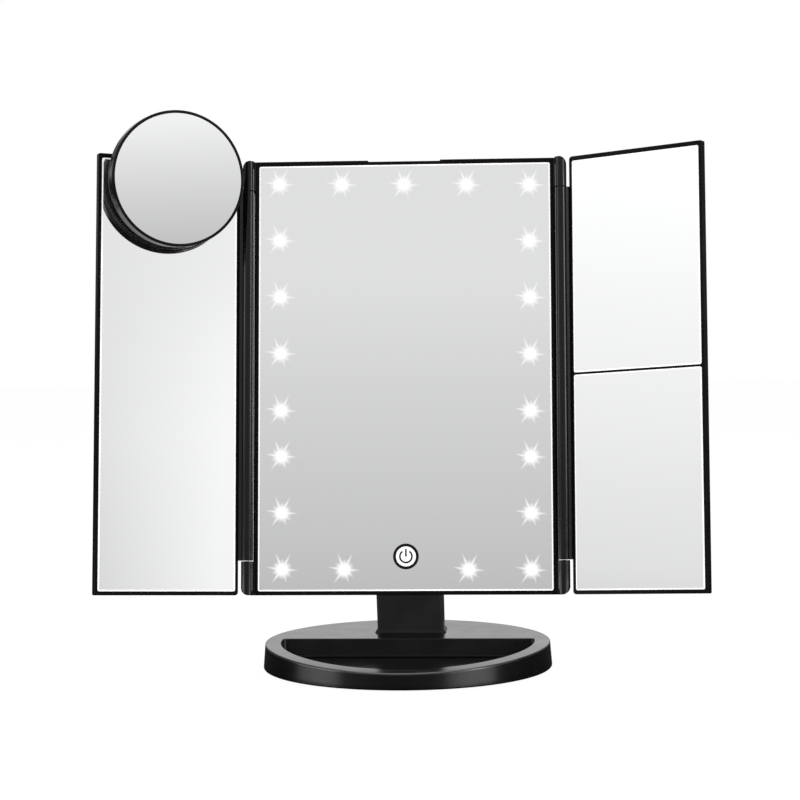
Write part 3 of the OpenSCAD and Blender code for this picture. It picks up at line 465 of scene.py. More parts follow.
def build(name, shape, matrix, body, materials, replaced, sharp):
    """Makes the piece, with its faces outwards and its edges smooth up to an angle."""
    mesh = bpy.data.meshes.new(name)
    mesh.from_pydata([matrix @ Vector(point) for point in shape.points], [], shape.faces)
    for face, kind in zip(mesh.polygons, shape.kinds):
        face.material_index = kind
    work = bmesh.new()
    work.from_mesh(mesh)
    bmesh.ops.remove_doubles(work, verts=work.verts, dist=1e-6)
    bmesh.ops.dissolve_degenerate(work, edges=work.edges, dist=1e-7)
    bmesh.ops.recalc_face_normals(work, faces=work.faces)
    work.to_mesh(mesh)
    work.free()
    piece = in_scene(name, mesh)
    for made in materials:
        mesh.materials.append(made)
    mesh.shade_smooth()
    mesh.set_sharp_from_angle(angle=math.radians(sharp))
    # Large flat faces stay flat beside small rounded edges
    normals = piece.modifiers.new("flat_faces", "WEIGHTED_NORMAL")
    normals.keep_sharp = True
    normals.weight = 80
    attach(piece, body)
    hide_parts(*replaced)
    return piece


def quarter(radius, steps=4):
    """(inset, drop) pairs round a quarter circle, from the side to the face."""
    angles = [math.radians(90 * step / steps) for step in range(steps + 1)]
    return [(radius * (1 - math.cos(a)), radius * (1 - math.sin(a))) for a in angles]


# ---------- Base ----------

FOOT_LOW, FOOT_HIGH = (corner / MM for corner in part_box("base_shell"))
FOOT_R = FOOT_HIGH.x
FOOT_LEAN = 1.0
TOP_R = FOOT_R - FOOT_LEAN
FOOT_Z = FOOT_LOW.z
TOP_Z = FOOT_HIGH.z
TOP_ARC_R = 800.0
TOP_ARC_Y = 12.0
TOP_ARC_LIFT = 0.05
TRAY_R = 70.7
TRAY_BACK = 6.0
TRAY_CORNER = 2.0
TRAY_FLOOR = 4.3
TRAY_ARC_STEPS = 120
TRAY_BACK_STEPS = 40
FOOT_ROUND = 0.8
RIM_ROUND = 0.9
TRAY_ROUND = 0.5
TRAY_FILLET = 1.0
SIDE_SHARES = (0.25, 0.5, 0.75)
TOP_SHARES = (0.2, 0.4, 0.6, 0.8)
COVER_GAP = 0.1
COVER_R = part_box("base_bottom_cover")[1].x / MM + COVER_GAP
COVER_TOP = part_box("base_bottom_cover")[1].z / MM + COVER_GAP
# The base's finishes, in the order of its materials
ON_TOP, TRAY_SIDE, TRAY_BED, ON_SIDE = range(4)


def top_height(y):
    """Height of the base's top: level at the back, an arc at the front."""
    ahead = max(0.0, TOP_ARC_Y - y)
    arc_z = TOP_Z + TOP_ARC_LIFT - TOP_ARC_R + math.sqrt(TOP_ARC_R ** 2 - ahead ** 2)
    return min(TOP_Z, arc_z)


def tray_outline(grow):
    """The tray's plan from its right back corner round the front, then along the straight back."""
    r = TRAY_R + grow
    back = TRAY_BACK + grow
    c = rounded(TRAY_CORNER + grow)
    corner_x = math.sqrt((r - c) ** 2 - (back - c) ** 2)
    tangent = math.degrees(math.atan2(back - c, corner_x))
    right = arc(corner_x, back - c, c, 90, tangent, 10)
    front = arc(0, 0, r, tangent, -180 - tangent, TRAY_ARC_STEPS)[1:-1]
    left = arc(-corner_x, back - c, c, 180 - tangent, 90, 10)
    straight = [(corner_x * (2 * step / TRAY_BACK_STEPS - 1), back)
                for step in range(1, TRAY_BACK_STEPS)]
    return right + front + left + straight


def outer_outline(radius, tray):
    """A circle whose points lie outwards of the tray's points, seen from inside the tray."""
    middle_y = -TRAY_R * 0.35
    found = []
    for x, y in tray:
        direction = Vector((x, y - middle_y)).normalized()
        along = direction.y * middle_y
        reach = -along + math.sqrt(along ** 2 - middle_y ** 2 + radius ** 2)
        found.append((direction.x * reach, middle_y + direction.y * reach))
    return found


def between(first, second, share):
    """The outline that lies a share of the way from one outline to another."""
    return [(a[0] + (b[0] - a[0]) * share, a[1] + (b[1] - a[1]) * share)
            for a, b in zip(first, second)]


def base():
    tray = tray_outline(0)
    loops = []
    kinds = []

    def add(points, height, kind):
        loops.append([(x, y, height(y)) for x, y in points])
        kinds.append(kind)

    def side_height(y, share):
        low = FOOT_Z + FOOT_ROUND
        return low + (top_height(y) - RIM_ROUND - low) * share

    # Underneath: the recess of the bottom cover, the foot and the side
    add(outer_outline(COVER_R, tray), lambda y: COVER_TOP, ON_TOP)
    add(outer_outline(COVER_R, tray), lambda y: FOOT_Z, ON_TOP)
    for inset, drop in reversed(quarter(FOOT_ROUND)):
        add(outer_outline(FOOT_R - inset, tray), lambda y, d=drop: FOOT_Z + d, ON_SIDE)
    for share in SIDE_SHARES:
        add(outer_outline(FOOT_R - FOOT_LEAN * share, tray),
            lambda y, s=share: side_height(y, s), ON_SIDE)
    for inset, drop in quarter(RIM_ROUND, 6):
        add(outer_outline(TOP_R - inset, tray), lambda y, d=drop: top_height(y) - d,
            ON_TOP if inset else ON_SIDE)
    # The top, from its rim in to the tray
    rim = outer_outline(TOP_R - RIM_ROUND, tray)
    lip = tray_outline(TRAY_ROUND)
    for share in TOP_SHARES:
        add(between(rim, lip, share), top_height, ON_TOP)
    for inset, drop in reversed(quarter(TRAY_ROUND)):
        add(tray_outline(inset), lambda y, d=drop: top_height(y) - d, ON_TOP)
    # The tray's wall and floor
    for inset, drop in quarter(TRAY_FILLET):
        add(tray_outline(-inset), lambda y, d=drop: TRAY_FLOOR + d,
            TRAY_BED if inset else TRAY_SIDE)
    add([(x * 0.5, y * 0.5 - TRAY_R * 0.18) for x, y in tray], lambda y: TRAY_FLOOR, TRAY_BED)
    shape = Shape()
    shape.loft(loops, kinds[1:])
    build("base_moulding", shape, ROW, "base",
          [BASE_GLOSS, TRAY_WALL, TRAY_MATT, BASE_SIDE], ["base_shell"], 40)


# ---------- Centre panel ----------

GLASS_LOW, GLASS_HIGH = span("centre_glass", HEAD)
FRAME_LOW, FRAME_HIGH = span("centre_frame", HEAD)
PROUD = 0.3
GAP = 0.1
PANE_R = 1.0
TRIM_SIDE = 0.2
TRIM_BOTTOM = 0.5
TRIM_TOP = 0.3
OUTLINE_R = 1.2
FRAME_HALF = span("centre_rear_cover", HEAD)[1].x
NOTCH_HALF = 20.4
NOTCH_DEPTH = 0.7
NOTCH_LIP = 0.5
EDGE_ROUND = 0.45
INNER_ROUND = 0.3
BACK_EDGE = 0.15
FRAME_WALL = 2.0
SHELF = 4.0
SHELF_BACK = 3.8


def trimmed(low, high, at_bottom=True, at_top=True):
    """The part of a pane that its bezel leaves open, which is a little less than the pane."""
    return (Vector((low.x + TRIM_SIDE, low.y, low.z + TRIM_BOTTOM * at_bottom)),
            Vector((high.x - TRIM_SIDE, high.y, high.z - TRIM_TOP * at_top)))


def frame_ring():
    """The closed ring round the glass: outside, front face, recess of the glass and shelf."""
    low, high, back = FRAME_LOW.z, FRAME_HIGH.z, FRAME_HIGH.y
    open_low, open_high = trimmed(GLASS_LOW, GLASS_HIGH)
    glass_x, glass_z0, glass_z1 = open_high.x + GAP, open_low.z - GAP, open_high.z + GAP

    def outside(inset, y):
        notch = (NOTCH_HALF + inset, NOTCH_DEPTH, NOTCH_LIP)
        half = FRAME_HALF - inset
        r = rounded(OUTLINE_R - inset)
        return panel(y, -half, half, low + inset, high - inset, r, r, notch)

    def inside(grow, y):
        notch = (NOTCH_HALF, 0, NOTCH_LIP)
        half = glass_x + grow
        r = rounded(PANE_R + GAP + grow)
        return panel(y, -half, half, glass_z0 - grow, glass_z1 + grow, r, r, notch)

    loops = [outside(BACK_EDGE, back), outside(0, back - BACK_EDGE)]
    loops += [outside(inset, -PROUD + drop) for inset, drop in quarter(EDGE_ROUND)]
    loops += [inside(inset, -PROUD + drop) for inset, drop in reversed(quarter(INNER_ROUND))]
    loops += [inside(0, GLASS_HIGH.y), inside(-SHELF, GLASS_HIGH.y), inside(-SHELF, SHELF_BACK)]
    loops += [outside(FRAME_WALL, SHELF_BACK), outside(FRAME_WALL, back)]
    return loops


HINGE_X = Vector(joints["right_wing_hinge"]["pos_m"]).x / MM
HINGE_Y = (HEAD.inverted() @ Vector(joints["right_wing_hinge"]["pos_m"])).y
KNUCKLE_X = FRAME_HIGH.x
BARREL_R = KNUCKLE_X - HINGE_X
KNUCKLE_END_R = 4.5
KNUCKLE_ROUND = 0.35
KNUCKLE_CORNER = 1.2
KNUCKLE_SINK = 0.05
SEAM_ROUND = 0.2
SEAM_STEP = 0.06
LOWER_KNUCKLE = 18.7
UPPER_KNUCKLE = 16.8
BRIDGE_X = 82.3


def inset_loop(points, distance):
    """The outline moved inwards by a distance, for points that run anticlockwise."""
    found = []
    corners = [Vector(point) for point in points]
    for before, middle, after in zip(corners[-1:] + corners, corners, corners[1:] + corners[:1]):
        first = (middle - before).normalized()
        second = (after - middle).normalized()
        normal = Vector((-first.y - second.y, first.x + second.x)).normalized()
        stretch = max(0.5, normal.dot(Vector((-first.y, first.x))))
        found.append(tuple(middle + normal * (distance / stretch)))
    return found


def knuckle_outline():
    """Seen from above, anticlockwise: round barrel at the front, rounded block behind it."""
    drop = -PROUD - HINGE_Y
    reach = math.sqrt(BARREL_R ** 2 - drop ** 2)
    start = 180 - math.degrees(math.asin(drop / BARREL_R))
    corner = KNUCKLE_CORNER
    front, back = -PROUD + KNUCKLE_SINK, FRAME_HIGH.y
    return ([(BRIDGE_X, front), (HINGE_X - reach - 0.4, front)]
            + arc(HINGE_X, HINGE_Y, BARREL_R, start, 360, 24)
            + arc(KNUCKLE_X - corner, back - corner, corner, 0, 90, 6) + [(BRIDGE_X, back - 0.02)])


def knuckle(shape, side, low):
    """One end knuckle with its rounded outer corner, from its free end to the seam."""
    end = FRAME_LOW.z if low else FRAME_HIGH.z
    length = LOWER_KNUCKLE if low else UPPER_KNUCKLE
    up = 1 if low else -1
    plan = knuckle_outline()
    steps = [(0, KNUCKLE_ROUND)]
    steps += [(drop, inset) for inset, drop in quarter(KNUCKLE_ROUND, 3)[::-1][1:]]
    steps += [(KNUCKLE_END_R * (1 - math.cos(math.radians(a))), 0) for a in range(30, 91, 10)]
    steps += [(length - SEAM_ROUND, 0), (length - SEAM_STEP, SEAM_STEP), (length, SEAM_ROUND)]
    loops = []
    for distance, inset in steps:
        short = max(0.0, KNUCKLE_END_R - distance)
        reach = KNUCKLE_X - KNUCKLE_END_R + math.sqrt(KNUCKLE_END_R ** 2 - short ** 2)
        loops.append([(side * min(x, reach - inset * 0.5), y, end + up * distance)
                      for x, y in inset_loop(plan, inset)])
    shape.loft(loops)


LIP_ROOT = 0.4
LIP_REACH = 0.75
LIP_FRONT = 2.4
LIP_ROUND = 0.3
LIP_OVERLAP = 0.5


def barrel_lip(shape, side):
    """The lip on the frame's side that closes the view past the barrel."""
    x0, x1 = FRAME_HALF - LIP_ROOT, FRAME_HALF + LIP_REACH
    y0, y1 = LIP_FRONT, FRAME_HIGH.y - KNUCKLE_SINK
    z0 = FRAME_LOW.z + LOWER_KNUCKLE - LIP_OVERLAP
    z1 = FRAME_HIGH.z - UPPER_KNUCKLE + LIP_OVERLAP
    r = LIP_ROUND
    plan = [(x0, y0), (x1 - r, y0)] + arc(x1 - r, y0 + r, r, 270, 360, 3)[1:]
    plan += [(x1, y1), (x0, y1)]
    shape.loft([[(side * x, y, z) for x, y in plan] for z in (z0, z1)])


def centre_frame():
    shape = Shape()
    shape.loft(frame_ring(), closed=True)
    shape.kind = 1
    for side in (-1, 1):
        for low in (True, False):
            knuckle(shape, side, low)
    shape.kind = 0
    for side in (-1, 1):
        barrel_lip(shape, side)
    build("centre_bezel", shape, HEAD, "head", [FRAME_BLACK, HINGE_GLOSS],
          ["centre_frame"], 35)


# ---------- Mirrors ----------

CHAMFER = 0.75
CHAMFER_DROP = 0.22
PANE_EDGE = 0.1
PANE_SHARP = 8


def pane_loops(low, high):
    """A pane's chamfer, side and back, from the edge of its front face."""
    def edge(inset, y):
        r = max(PANE_R - inset, 0.25)
        return panel(y, low.x + inset, high.x - inset, low.z + inset, high.z - inset, r, r)
    return [edge(CHAMFER, low.y), edge(0, low.y + CHAMFER_DROP),
            edge(0, high.y - PANE_EDGE), edge(PANE_EDGE, high.y)]


def add_pane(shape, loops, bevel):
    """The chamfer, side and back of a pane; the front face is left open."""
    made = [shape.loop(points) for points in loops]
    for place, (a, b) in enumerate(zip(made, made[1:])):
        shape.skin(a, b, bevel if place == 0 else 0)
    shape.face(made[-1])
    return made[0]


def pane(name, node, matrix, body, at_bottom=True, at_top=True):
    shape = Shape()
    loops = pane_loops(*trimmed(*span(node, matrix), at_bottom, at_top))
    shape.face(add_pane(shape, loops, 1))
    build(name, shape, matrix, body, [MIRROR, GROUND_EDGE], [node], PANE_SHARP)


def joined_groups(work):
    """The vertices of each separate solid."""
    left = set(work.verts)
    while left:
        group = []
        reached = [left.pop()]
        while reached:
            vertex = reached.pop()
            group.append(vertex)
            for edge in vertex.link_edges:
                other = edge.other_vert(vertex)
                if other in left:
                    left.remove(other)
                    reached.append(other)
        yield group


def lamp_places():
    """Middles of the lamps, from the lamps' own solids."""
    inverse = HEAD.inverted()
    work = bmesh.new()
    work.from_mesh(nodes["led_lamps"].data)
    bmesh.ops.remove_doubles(work, verts=work.verts, dist=1e-6)
    places = []
    for group in joined_groups(work):
        low, high = extent([inverse @ vertex.co for vertex in group])
        places.append(((low.x + high.x) / 2, (low.z + high.z) / 2))
    work.free()
    return sorted((round(x, 3), round(z, 3)) for x, z in places)


# How far the corners' glows lie beside and above their lamps: (left, right) of the bottom row and
# of the top row
GLOW_ASIDE = ((1.4, 0.1), (-0.65, 0.45))
GLOW_ABOVE = ((0.05, -0.5), (0.75, -1.4))


def glow_places():
    """Middles of the glows and painted glints on the mirror, a little askew from the lamps."""
    lamps = lamp_places()
    far_x = max(x for x, _ in lamps)
    low_z, high_z = min(z for _, z in lamps), max(z for _, z in lamps)
    places = []
    for x, z in lamps:
        across, up = (x / far_x + 1) / 2, (z - low_z) / (high_z - low_z)
        shifts = []
        for (low_left, low_right), (high_left, high_right) in (GLOW_ASIDE, GLOW_ABOVE):
            low = low_left + (low_right - low_left) * across
            high = high_left + (high_right - high_left) * across
            shifts.append(low + (high - low) * up)
        places.append((x + shifts[0], z + shifts[1]))
    return places


KEY_LOW, KEY_HIGH = span("touch_pad", HEAD)
KEY_X = 0.5
KEY_Z = (KEY_LOW.z + KEY_HIGH.z) / 2
RING_R = 7.1
RING_W = 1.6
RING_STEPS = 64
GLYPH_R = 3.35
GLYPH_W = 0.95
GLYPH_OPEN = 41.0
BAR_TOP = 4.3
BAR_LOW = -0.1


def glyph_tip(angle, turn):
    """A round end of the power symbol's open ring."""
    x, z = arc(KEY_X, KEY_Z, GLYPH_R, angle, angle)[0]
    return arc(x, z, GLYPH_W / 2, angle + turn, angle + turn + 180)[1:-1]


def glyph_outline():
    """The open ring of the power symbol, with round ends."""
    start, end = 90 + GLYPH_OPEN, 450 - GLYPH_OPEN
    return (arc(KEY_X, KEY_Z, GLYPH_R + GLYPH_W / 2, start, end, 40) + glyph_tip(end, 0)
            + arc(KEY_X, KEY_Z, GLYPH_R - GLYPH_W / 2, end, start, 40) + glyph_tip(start, 180))


def bar_outline():
    """The upright bar of the power symbol."""
    r = GLYPH_W / 2
    return (arc(KEY_X, KEY_Z + BAR_TOP - r, r, 0, 180, 8)
            + arc(KEY_X, KEY_Z + BAR_LOW + r, r, 180, 360, 8))


def inside_outline(x, z, outline):
    inside = False
    for (x0, z0), (x1, z1) in zip(outline[-1:] + outline, outline):
        if (z0 > z) != (z1 > z) and x < x0 + (z - z0) * (x1 - x0) / (z1 - z0):
            inside = not inside
    return inside


# The lit mirror's finishes, in the order of its materials
PLAIN, PRINTED, FROSTED, BEVELLED = range(4)


def face_triangles(chains):
    """Points and triangles of a flat face that holds each chain as a closed line."""
    points, lines = [], []
    for chain in chains:
        first = len(points)
        points.extend(Vector(point) for point in chain)
        lines.extend((first + here, first + (here + 1) % len(chain)) for here in range(len(chain)))
    flat, _, triangles = delaunay_2d_cdt(points, lines, [], 0, 1e-5)[:3]
    return flat, triangles


def near_zone(point, zones):
    """The middle of the lamp whose clear zone holds the point."""
    for x, z in zones:
        if abs(point.x - x) < CLEAR_ZONE and abs(point.z - z) < CLEAR_ZONE:
            return x, z
    return None


def centre_mirror():
    """The lit mirror: its front face holds the lamps' clear zones and the power symbol."""
    low, high = trimmed(GLASS_LOW, GLASS_HIGH)
    shape = Shape()
    loops = pane_loops(low, high)
    add_pane(shape, loops, BEVELLED)
    zones = glow_places()
    squares = [[(x + dx * CLEAR_ZONE, z + dz * CLEAR_ZONE) for dx, dz in SQUARE] for x, z in zones]
    glyph, bar = glyph_outline(), bar_outline()
    ring = [circle(r, RING_STEPS, KEY_X, KEY_Z) for r in (RING_R, RING_R - RING_W)]
    front = [(x, z) for x, _, z in loops[0]]
    flat, triangles = face_triangles([front, *ring, glyph, bar, *squares])
    first = len(shape.points)
    shape.points.extend((point.x, low.y, point.y) for point in flat)
    for triangle in triangles:
        x = sum(flat[corner].x for corner in triangle) / 3
        z = sum(flat[corner].y for corner in triangle) / 3
        radius = math.hypot(x - KEY_X, z - KEY_Z)
        printed = (RING_R - RING_W < radius < RING_R or inside_outline(x, z, glyph)
                   or inside_outline(x, z, bar))
        kind = PRINTED if printed else FROSTED if radius < RING_R else PLAIN
        shape.face([first + corner for corner in triangle], kind)
    piece = build("centre_mirror", shape, HEAD, "head",
                  [LIT_GLASS, INK, KEY_WINDOW, GROUND_EDGE], ["centre_glass"], PANE_SHARP)
    mark_zones(piece.data, low.y, zones)


def mark_zones(mesh, front, zones):
    """Writes each front point's place from its lamp into the lamp coordinates."""
    layer = mesh.uv_layers.new(name="lamp_zone")
    inverse = HEAD.inverted()
    for face in mesh.polygons:
        middle = inverse @ face.center
        zone = near_zone(middle, zones) if abs(middle.y - front) < 0.01 else None
        for corner in face.loop_indices:
            point = inverse @ mesh.vertices[mesh.loops[corner].vertex_index].co
            place = (point.x - zone[0], point.z - zone[1]) if zone else (FAR_AWAY, FAR_AWAY)
            layer.data[corner].uv = place


# ---------- Wings ----------

WING_SIDE = 1.45
WING_ROUND = 0.4
WING_HINGE_R = 1.8
WING_OUTER_R = 0.8
BARREL_GAP = 0.4
DIVIDER_LAP = 0.4
FLARE_FRONT = 0.25
FLARE_BACK = 0.75
WEB = (-0.5, 3.2)


def wing_frame(name, node, glass_nodes, matrix, body):
    low, high = span(node, matrix)
    glass = [trimmed(*span(pane_node, matrix)) for pane_node in glass_nodes]
    glass_low, glass_high = extent([corner for corners in glass for corner in corners])
    u0, u1 = glass_low.x - TRIM_SIDE - WING_SIDE, high.x
    front = glass_low.y - PROUD
    back = high.y

    def outside(inset, y):
        r0, r1 = rounded(WING_HINGE_R - inset), rounded(WING_OUTER_R - inset)
        flare = FLARE_FRONT + (FLARE_BACK - FLARE_FRONT) * (y - front) / (back - front)
        return panel(y, u0 + inset, u1 + flare - inset, low.z + inset, high.z - inset, r0, r1)

    def inside(grow, y):
        r = rounded(PANE_R + grow)
        return panel(y, glass_low.x - GAP - grow, glass_high.x + GAP + grow,
                     glass_low.z - GAP - grow, glass_high.z + GAP + grow, r, r)

    loops = [outside(0, back)]
    loops += [outside(inset, front + drop) for inset, drop in quarter(WING_ROUND)]
    loops += [inside(inset, front + drop) for inset, drop in reversed(quarter(INNER_ROUND))]
    loops += [inside(0, glass_high.y), inside(-SHELF, glass_high.y), inside(-SHELF, back)]
    shape = Shape()
    shape.loft(loops, closed=True)
    shape.kind = 1
    hinge_barrel(shape, u0)
    shape.kind = 0
    if len(glass) > 1:
        panes = sorted(glass, key=lambda pair: pair[0].z)
        z0, z1 = panes[0][1].z + TRIM_TOP + GAP, panes[1][0].z - TRIM_BOTTOM - GAP
        divider(shape, glass_low.x - DIVIDER_LAP, glass_high.x + DIVIDER_LAP, z0, z1, front,
                glass_high.y)
    build(name, shape, matrix, body, [FRAME_BLACK, HINGE_GLOSS], [node], 35)


def hinge_barrel(shape, u0):
    """The long barrel between the end knuckles, and the web that carries the wing."""
    z0 = FRAME_LOW.z + LOWER_KNUCKLE + BARREL_GAP
    z1 = FRAME_HIGH.z - UPPER_KNUCKLE - BARREL_GAP
    front = math.degrees(math.asin(WEB[0] / BARREL_R))
    back = math.degrees(math.asin(WEB[1] / BARREL_R))
    root = u0 + WING_ROUND
    plan = arc(0, 0, BARREL_R, back, 360 + front, 40) + [(root, WEB[0]), (root, WEB[1])]
    steps = [(z0, SEAM_ROUND), (z0 + SEAM_STEP, SEAM_STEP), (z0 + SEAM_ROUND, 0),
             (z1 - SEAM_ROUND, 0), (z1 - SEAM_STEP, SEAM_STEP), (z1, SEAM_ROUND)]
    shape.loft([[(x, y, z) for x, y in inset_loop(plan, inset)] for z, inset in steps])


def divider(shape, x0, x1, z0, z1, front, back):
    """The bar between two panes, with a rounded front."""
    r = (z1 - z0) / 2.2
    section = [(back, z0)] + [(front + drop, z0 + inset) for inset, drop in quarter(r)]
    section += [(front + drop, z1 - inset) for inset, drop in reversed(quarter(r))] + [(back, z1)]
    shape.loft([[(x, y, z) for y, z in section] for x in (x0, x1)])


# ---------- Magnifier ----------

RING_LOW, RING_HIGH = span("magnifier_ring", DISC)
DISC_GLASS_LOW, DISC_GLASS_HIGH = span("magnifier_glass", DISC)
DISH_R = 420.0
DISH_EDGE = 0.2
DISH_DEPTH = 2.5
DISH_STEPS = 12
ROUND_STEPS = 96
RIM_GROW = 0.35
RIM_GAP = 0.02
RIM_BEVEL = 0.15
RIM_EDGE = 0.45
RIM_SEAT = 2.2


def rounds(section):
    """Circles round the Y axis, one for each (radius, y) pair."""
    return [[(x, y, z) for x, z in circle(radius, ROUND_STEPS)] for radius, y in section]


def magnifier_glass():
    """A shallow dish with a dark bevel."""
    radius = DISC_GLASS_HIGH.x
    front, back = DISC_GLASS_LOW.y, DISC_GLASS_HIGH.y
    edge = radius - DISH_EDGE

    def dish(r):
        return front + math.sqrt(DISH_R ** 2 - r ** 2) - math.sqrt(DISH_R ** 2 - edge ** 2)

    radii = [edge * share / DISH_STEPS for share in range(1, DISH_STEPS + 1)]
    section = [(r, dish(r)) for r in radii]
    section += [(radius, front + DISH_EDGE), (radius, back - DISH_EDGE), (edge, back)]
    kinds = [0] * (DISH_STEPS - 1) + [1] * (len(section) - DISH_STEPS)
    shape = Shape()
    shape.loft(rounds(section), kinds)
    piece = build("magnifying_mirror", shape, DISC, "magnifier", [MIRROR, FRAME_BLACK],
                  ["magnifier_glass"], PANE_SHARP)
    even_out(piece, edge)


def even_out(piece, edge):
    """Lets the dish reflect as evenly as the weakly curved mirror in the photograph does."""
    mesh = piece.data
    piece.modifiers.clear()
    inverse = DISC.inverted()
    axis = (DISC.to_3x3() @ Vector((0, -1, 0))).normalized()
    normals = []
    for face in mesh.polygons:
        middle = inverse @ face.center
        ahead = middle.y < DISC_GLASS_LOW.y + DISH_DEPTH
        dish = math.hypot(middle.x, middle.z) < edge and ahead
        for corner in face.loop_indices:
            normals.append(axis if dish else mesh.corner_normals[corner].vector.copy())
    mesh.normals_split_custom_set(normals)


def magnifier_rim():
    """The ring round the dish: a flat lip, a rounded edge and a straight side."""
    outer = RING_HIGH.x + RIM_GROW
    inner = DISC_GLASS_HIGH.x + RIM_GAP
    front, back = RING_LOW.y, RING_HIGH.y
    seat = DISC_GLASS_HIGH.y
    section = [(inner, seat), (inner, front + RIM_BEVEL), (inner + RIM_BEVEL, front)]
    section += [(outer - inset, front + drop) for inset, drop in reversed(quarter(RIM_EDGE))]
    section += [(outer, back - DISH_EDGE), (outer - DISH_EDGE, back)]
    section += [(inner - RIM_SEAT, back), (inner - RIM_SEAT, seat)]
    shape = Shape()
    shape.loft(rounds(section), closed=True)
    build("magnifier_rim", shape, DISC, "magnifier", [RIM_GLOSS],
          ["magnifier_ring"], 30)


# The suction cup from its hollow to its neck: (share of its radius, added radius, height above the
# wing's mirror)
CUP_PROFILE = [(0, 2.0, 0.6), (0.6, 0, 0.5), (1, -0.4, 0), (1, 0, 0.25), (1, -0.5, 0.8),
               (0.82, 0, 1.3), (0.66, 0, 1.7)]
CUP_NECK = 0.56
CUP_STEPS = 64


def suction_cup():
    """A flared rubber cup on the wing's mirror that ends on the magnifier's back."""
    low, high = span("suction_cup", LEFT)
    middle_x, middle_z = (low.x + high.x) / 2, (low.z + high.z) / 2
    base_y = high.y
    cup_r = (high.x - low.x) / 2
    to_disc = DISC.inverted() @ LEFT
    disc_back = span("magnifier_back", DISC)[1].y

    def on_disc(x, z):
        here = to_disc @ Vector((x, base_y, z))
        ahead = to_disc @ Vector((x, base_y - 1, z))
        return base_y - (here.y - disc_back) / (here.y - ahead.y)

    def level(radius, height):
        points = circle(radius, CUP_STEPS, middle_x, middle_z)
        return [(x, height(x, z), z) for x, z in points]

    loops = [level(cup_r * share + more, lambda x, z, h=rise: base_y - h)
             for share, more, rise in CUP_PROFILE]
    shape = Shape()
    shape.loft(loops + [level(cup_r * CUP_NECK, on_disc)])
    build("suction_cup_rubber", shape, LEFT, "magnifier", [RUBBER], ["suction_cup"], 40)


# ---------- Nodes that keep their CAD shape ----------

SMOOTH_ANGLE = math.radians(30)


def dress(node, finish):
    """Gives a CAD node its finish and smooth curved faces."""
    piece = nodes[node]
    mesh = piece.data
    mesh.materials.clear()
    mesh.materials.append(finish)
    custom = mesh.attributes.get("custom_normal")
    if custom:
        mesh.attributes.remove(custom)
    mesh.shade_smooth()
    weld = piece.modifiers.new("weld", "WELD")
    weld.merge_threshold = 1e-6
    split = piece.modifiers.new("edges", "EDGE_SPLIT")
    split.split_angle = SMOOTH_ANGLE


base()
centre_frame()
centre_mirror()
pane("left_mirror", "left_wing_glass", LEFT, "left_wing")
pane("right_upper_mirror", "right_glass_upper", RIGHT, "right_wing", at_bottom=False)
pane("right_lower_mirror", "right_glass_lower", RIGHT, "right_wing", at_top=False)
wing_frame("left_wing_bezel", "left_wing_frame", ["left_wing_glass"], LEFT, "left_wing")
wing_frame("right_wing_bezel", "right_wing_frame", ["right_glass_upper", "right_glass_lower"],
           RIGHT, "right_wing")
magnifier_glass()
magnifier_rim()
suction_cup()

KEPT_SHAPES = [
    (SATIN, ["base_bottom_cover", "centre_rear_cover", "battery_door", "left_wing_back",
             "right_wing_back", "magnifier_back"]),
    (NECK_SATIN, ["neck_front_shell", "neck_rear_cover"]),
    (RUBBER, ["anti_slip_pad"]),
    (STEEL, ["base_weight", "hinge_bracket", "tilt_bolt", "spring_washer", "tilt_nut",
             "usb_socket"]),
    (SCREW_STEEL, ["base_screws", "neck_cover_screws", "neck_base_screws", "bracket_screws",
                   "rear_cover_screws", "left_hinge_pins", "right_hinge_pins"]),
    (SPRING_STEEL, ["battery_springs", "battery_contacts"]),
    (WASHER, ["friction_washers"]),
    (BOARD, ["led_board", "control_board"]),
    (LAMP, ["led_lamps"]),
    (COPPER, ["touch_pad"]),
    (FOAM, ["touch_contact"]),
    (CELL, ["battery_cells"]),
]
for kept_finish, kept_nodes in KEPT_SHAPES:
    for kept_node in kept_nodes:
        dress(kept_node, kept_finish)


# ---------- Floor, light and camera ----------

def seen_clearly(tree, off_mirrors=1):
    """1 for rays from the camera or through clear parts, 0 or 1 off a mirror, 0 for all others."""
    path = tree.nodes.new("ShaderNodeLightPath").outputs
    direct = number(tree, "MAXIMUM", path["Is Camera Ray"], path["Is Transmission Ray"])
    mirror = number(tree, "MULTIPLY", path["Is Singular Ray"], off_mirrors)
    return number(tree, "MAXIMUM", direct, mirror)


# The floor: half its side in metres, its colour, its darker colour as black plastic shows it, which
# is a painted darker reflection of the floor, and how white it looks where it is seen clearly
FLOOR_HALF = 4.0
FLOOR_PALE = (0.9, 0.9, 0.9, 1)
FLOOR_IN_GLOSS = (0.05, 0.05, 0.05, 1)
FLOOR_WHITE = 1.03
FLOOR_SHARE = 0.93


def floor_finish(tree, shader):
    # Gloss sees the floor darker than it is: a painted darker reflection on the base's black side
    glossy = add_node(tree, "LightPath", "Is Glossy Ray")
    put(tree, shader, roughness=0.9, specular_ior_level=0.0,
        base_color=mix_colours(tree, glossy, FLOOR_PALE, FLOOR_IN_GLOSS))
    share = number(tree, "MULTIPLY", seen_clearly(tree), FLOOR_SHARE)
    white = add_node(tree, "Emission", "Emission", color=WHITE, strength=FLOOR_WHITE)
    seen = mix_light(tree, share, shader.outputs["BSDF"], white)
    put(tree, tree.nodes["Material Output"], surface=seen)


def floor():
    mesh = bpy.data.meshes.new("floor")
    corners = [(x * FLOOR_HALF, y * FLOOR_HALF, 0) for x, y in SQUARE]
    mesh.from_pydata(corners, [], [(0, 1, 2, 3)])
    made = in_scene("floor", mesh)
    mesh.materials.append(material("pale_floor", floor_finish))


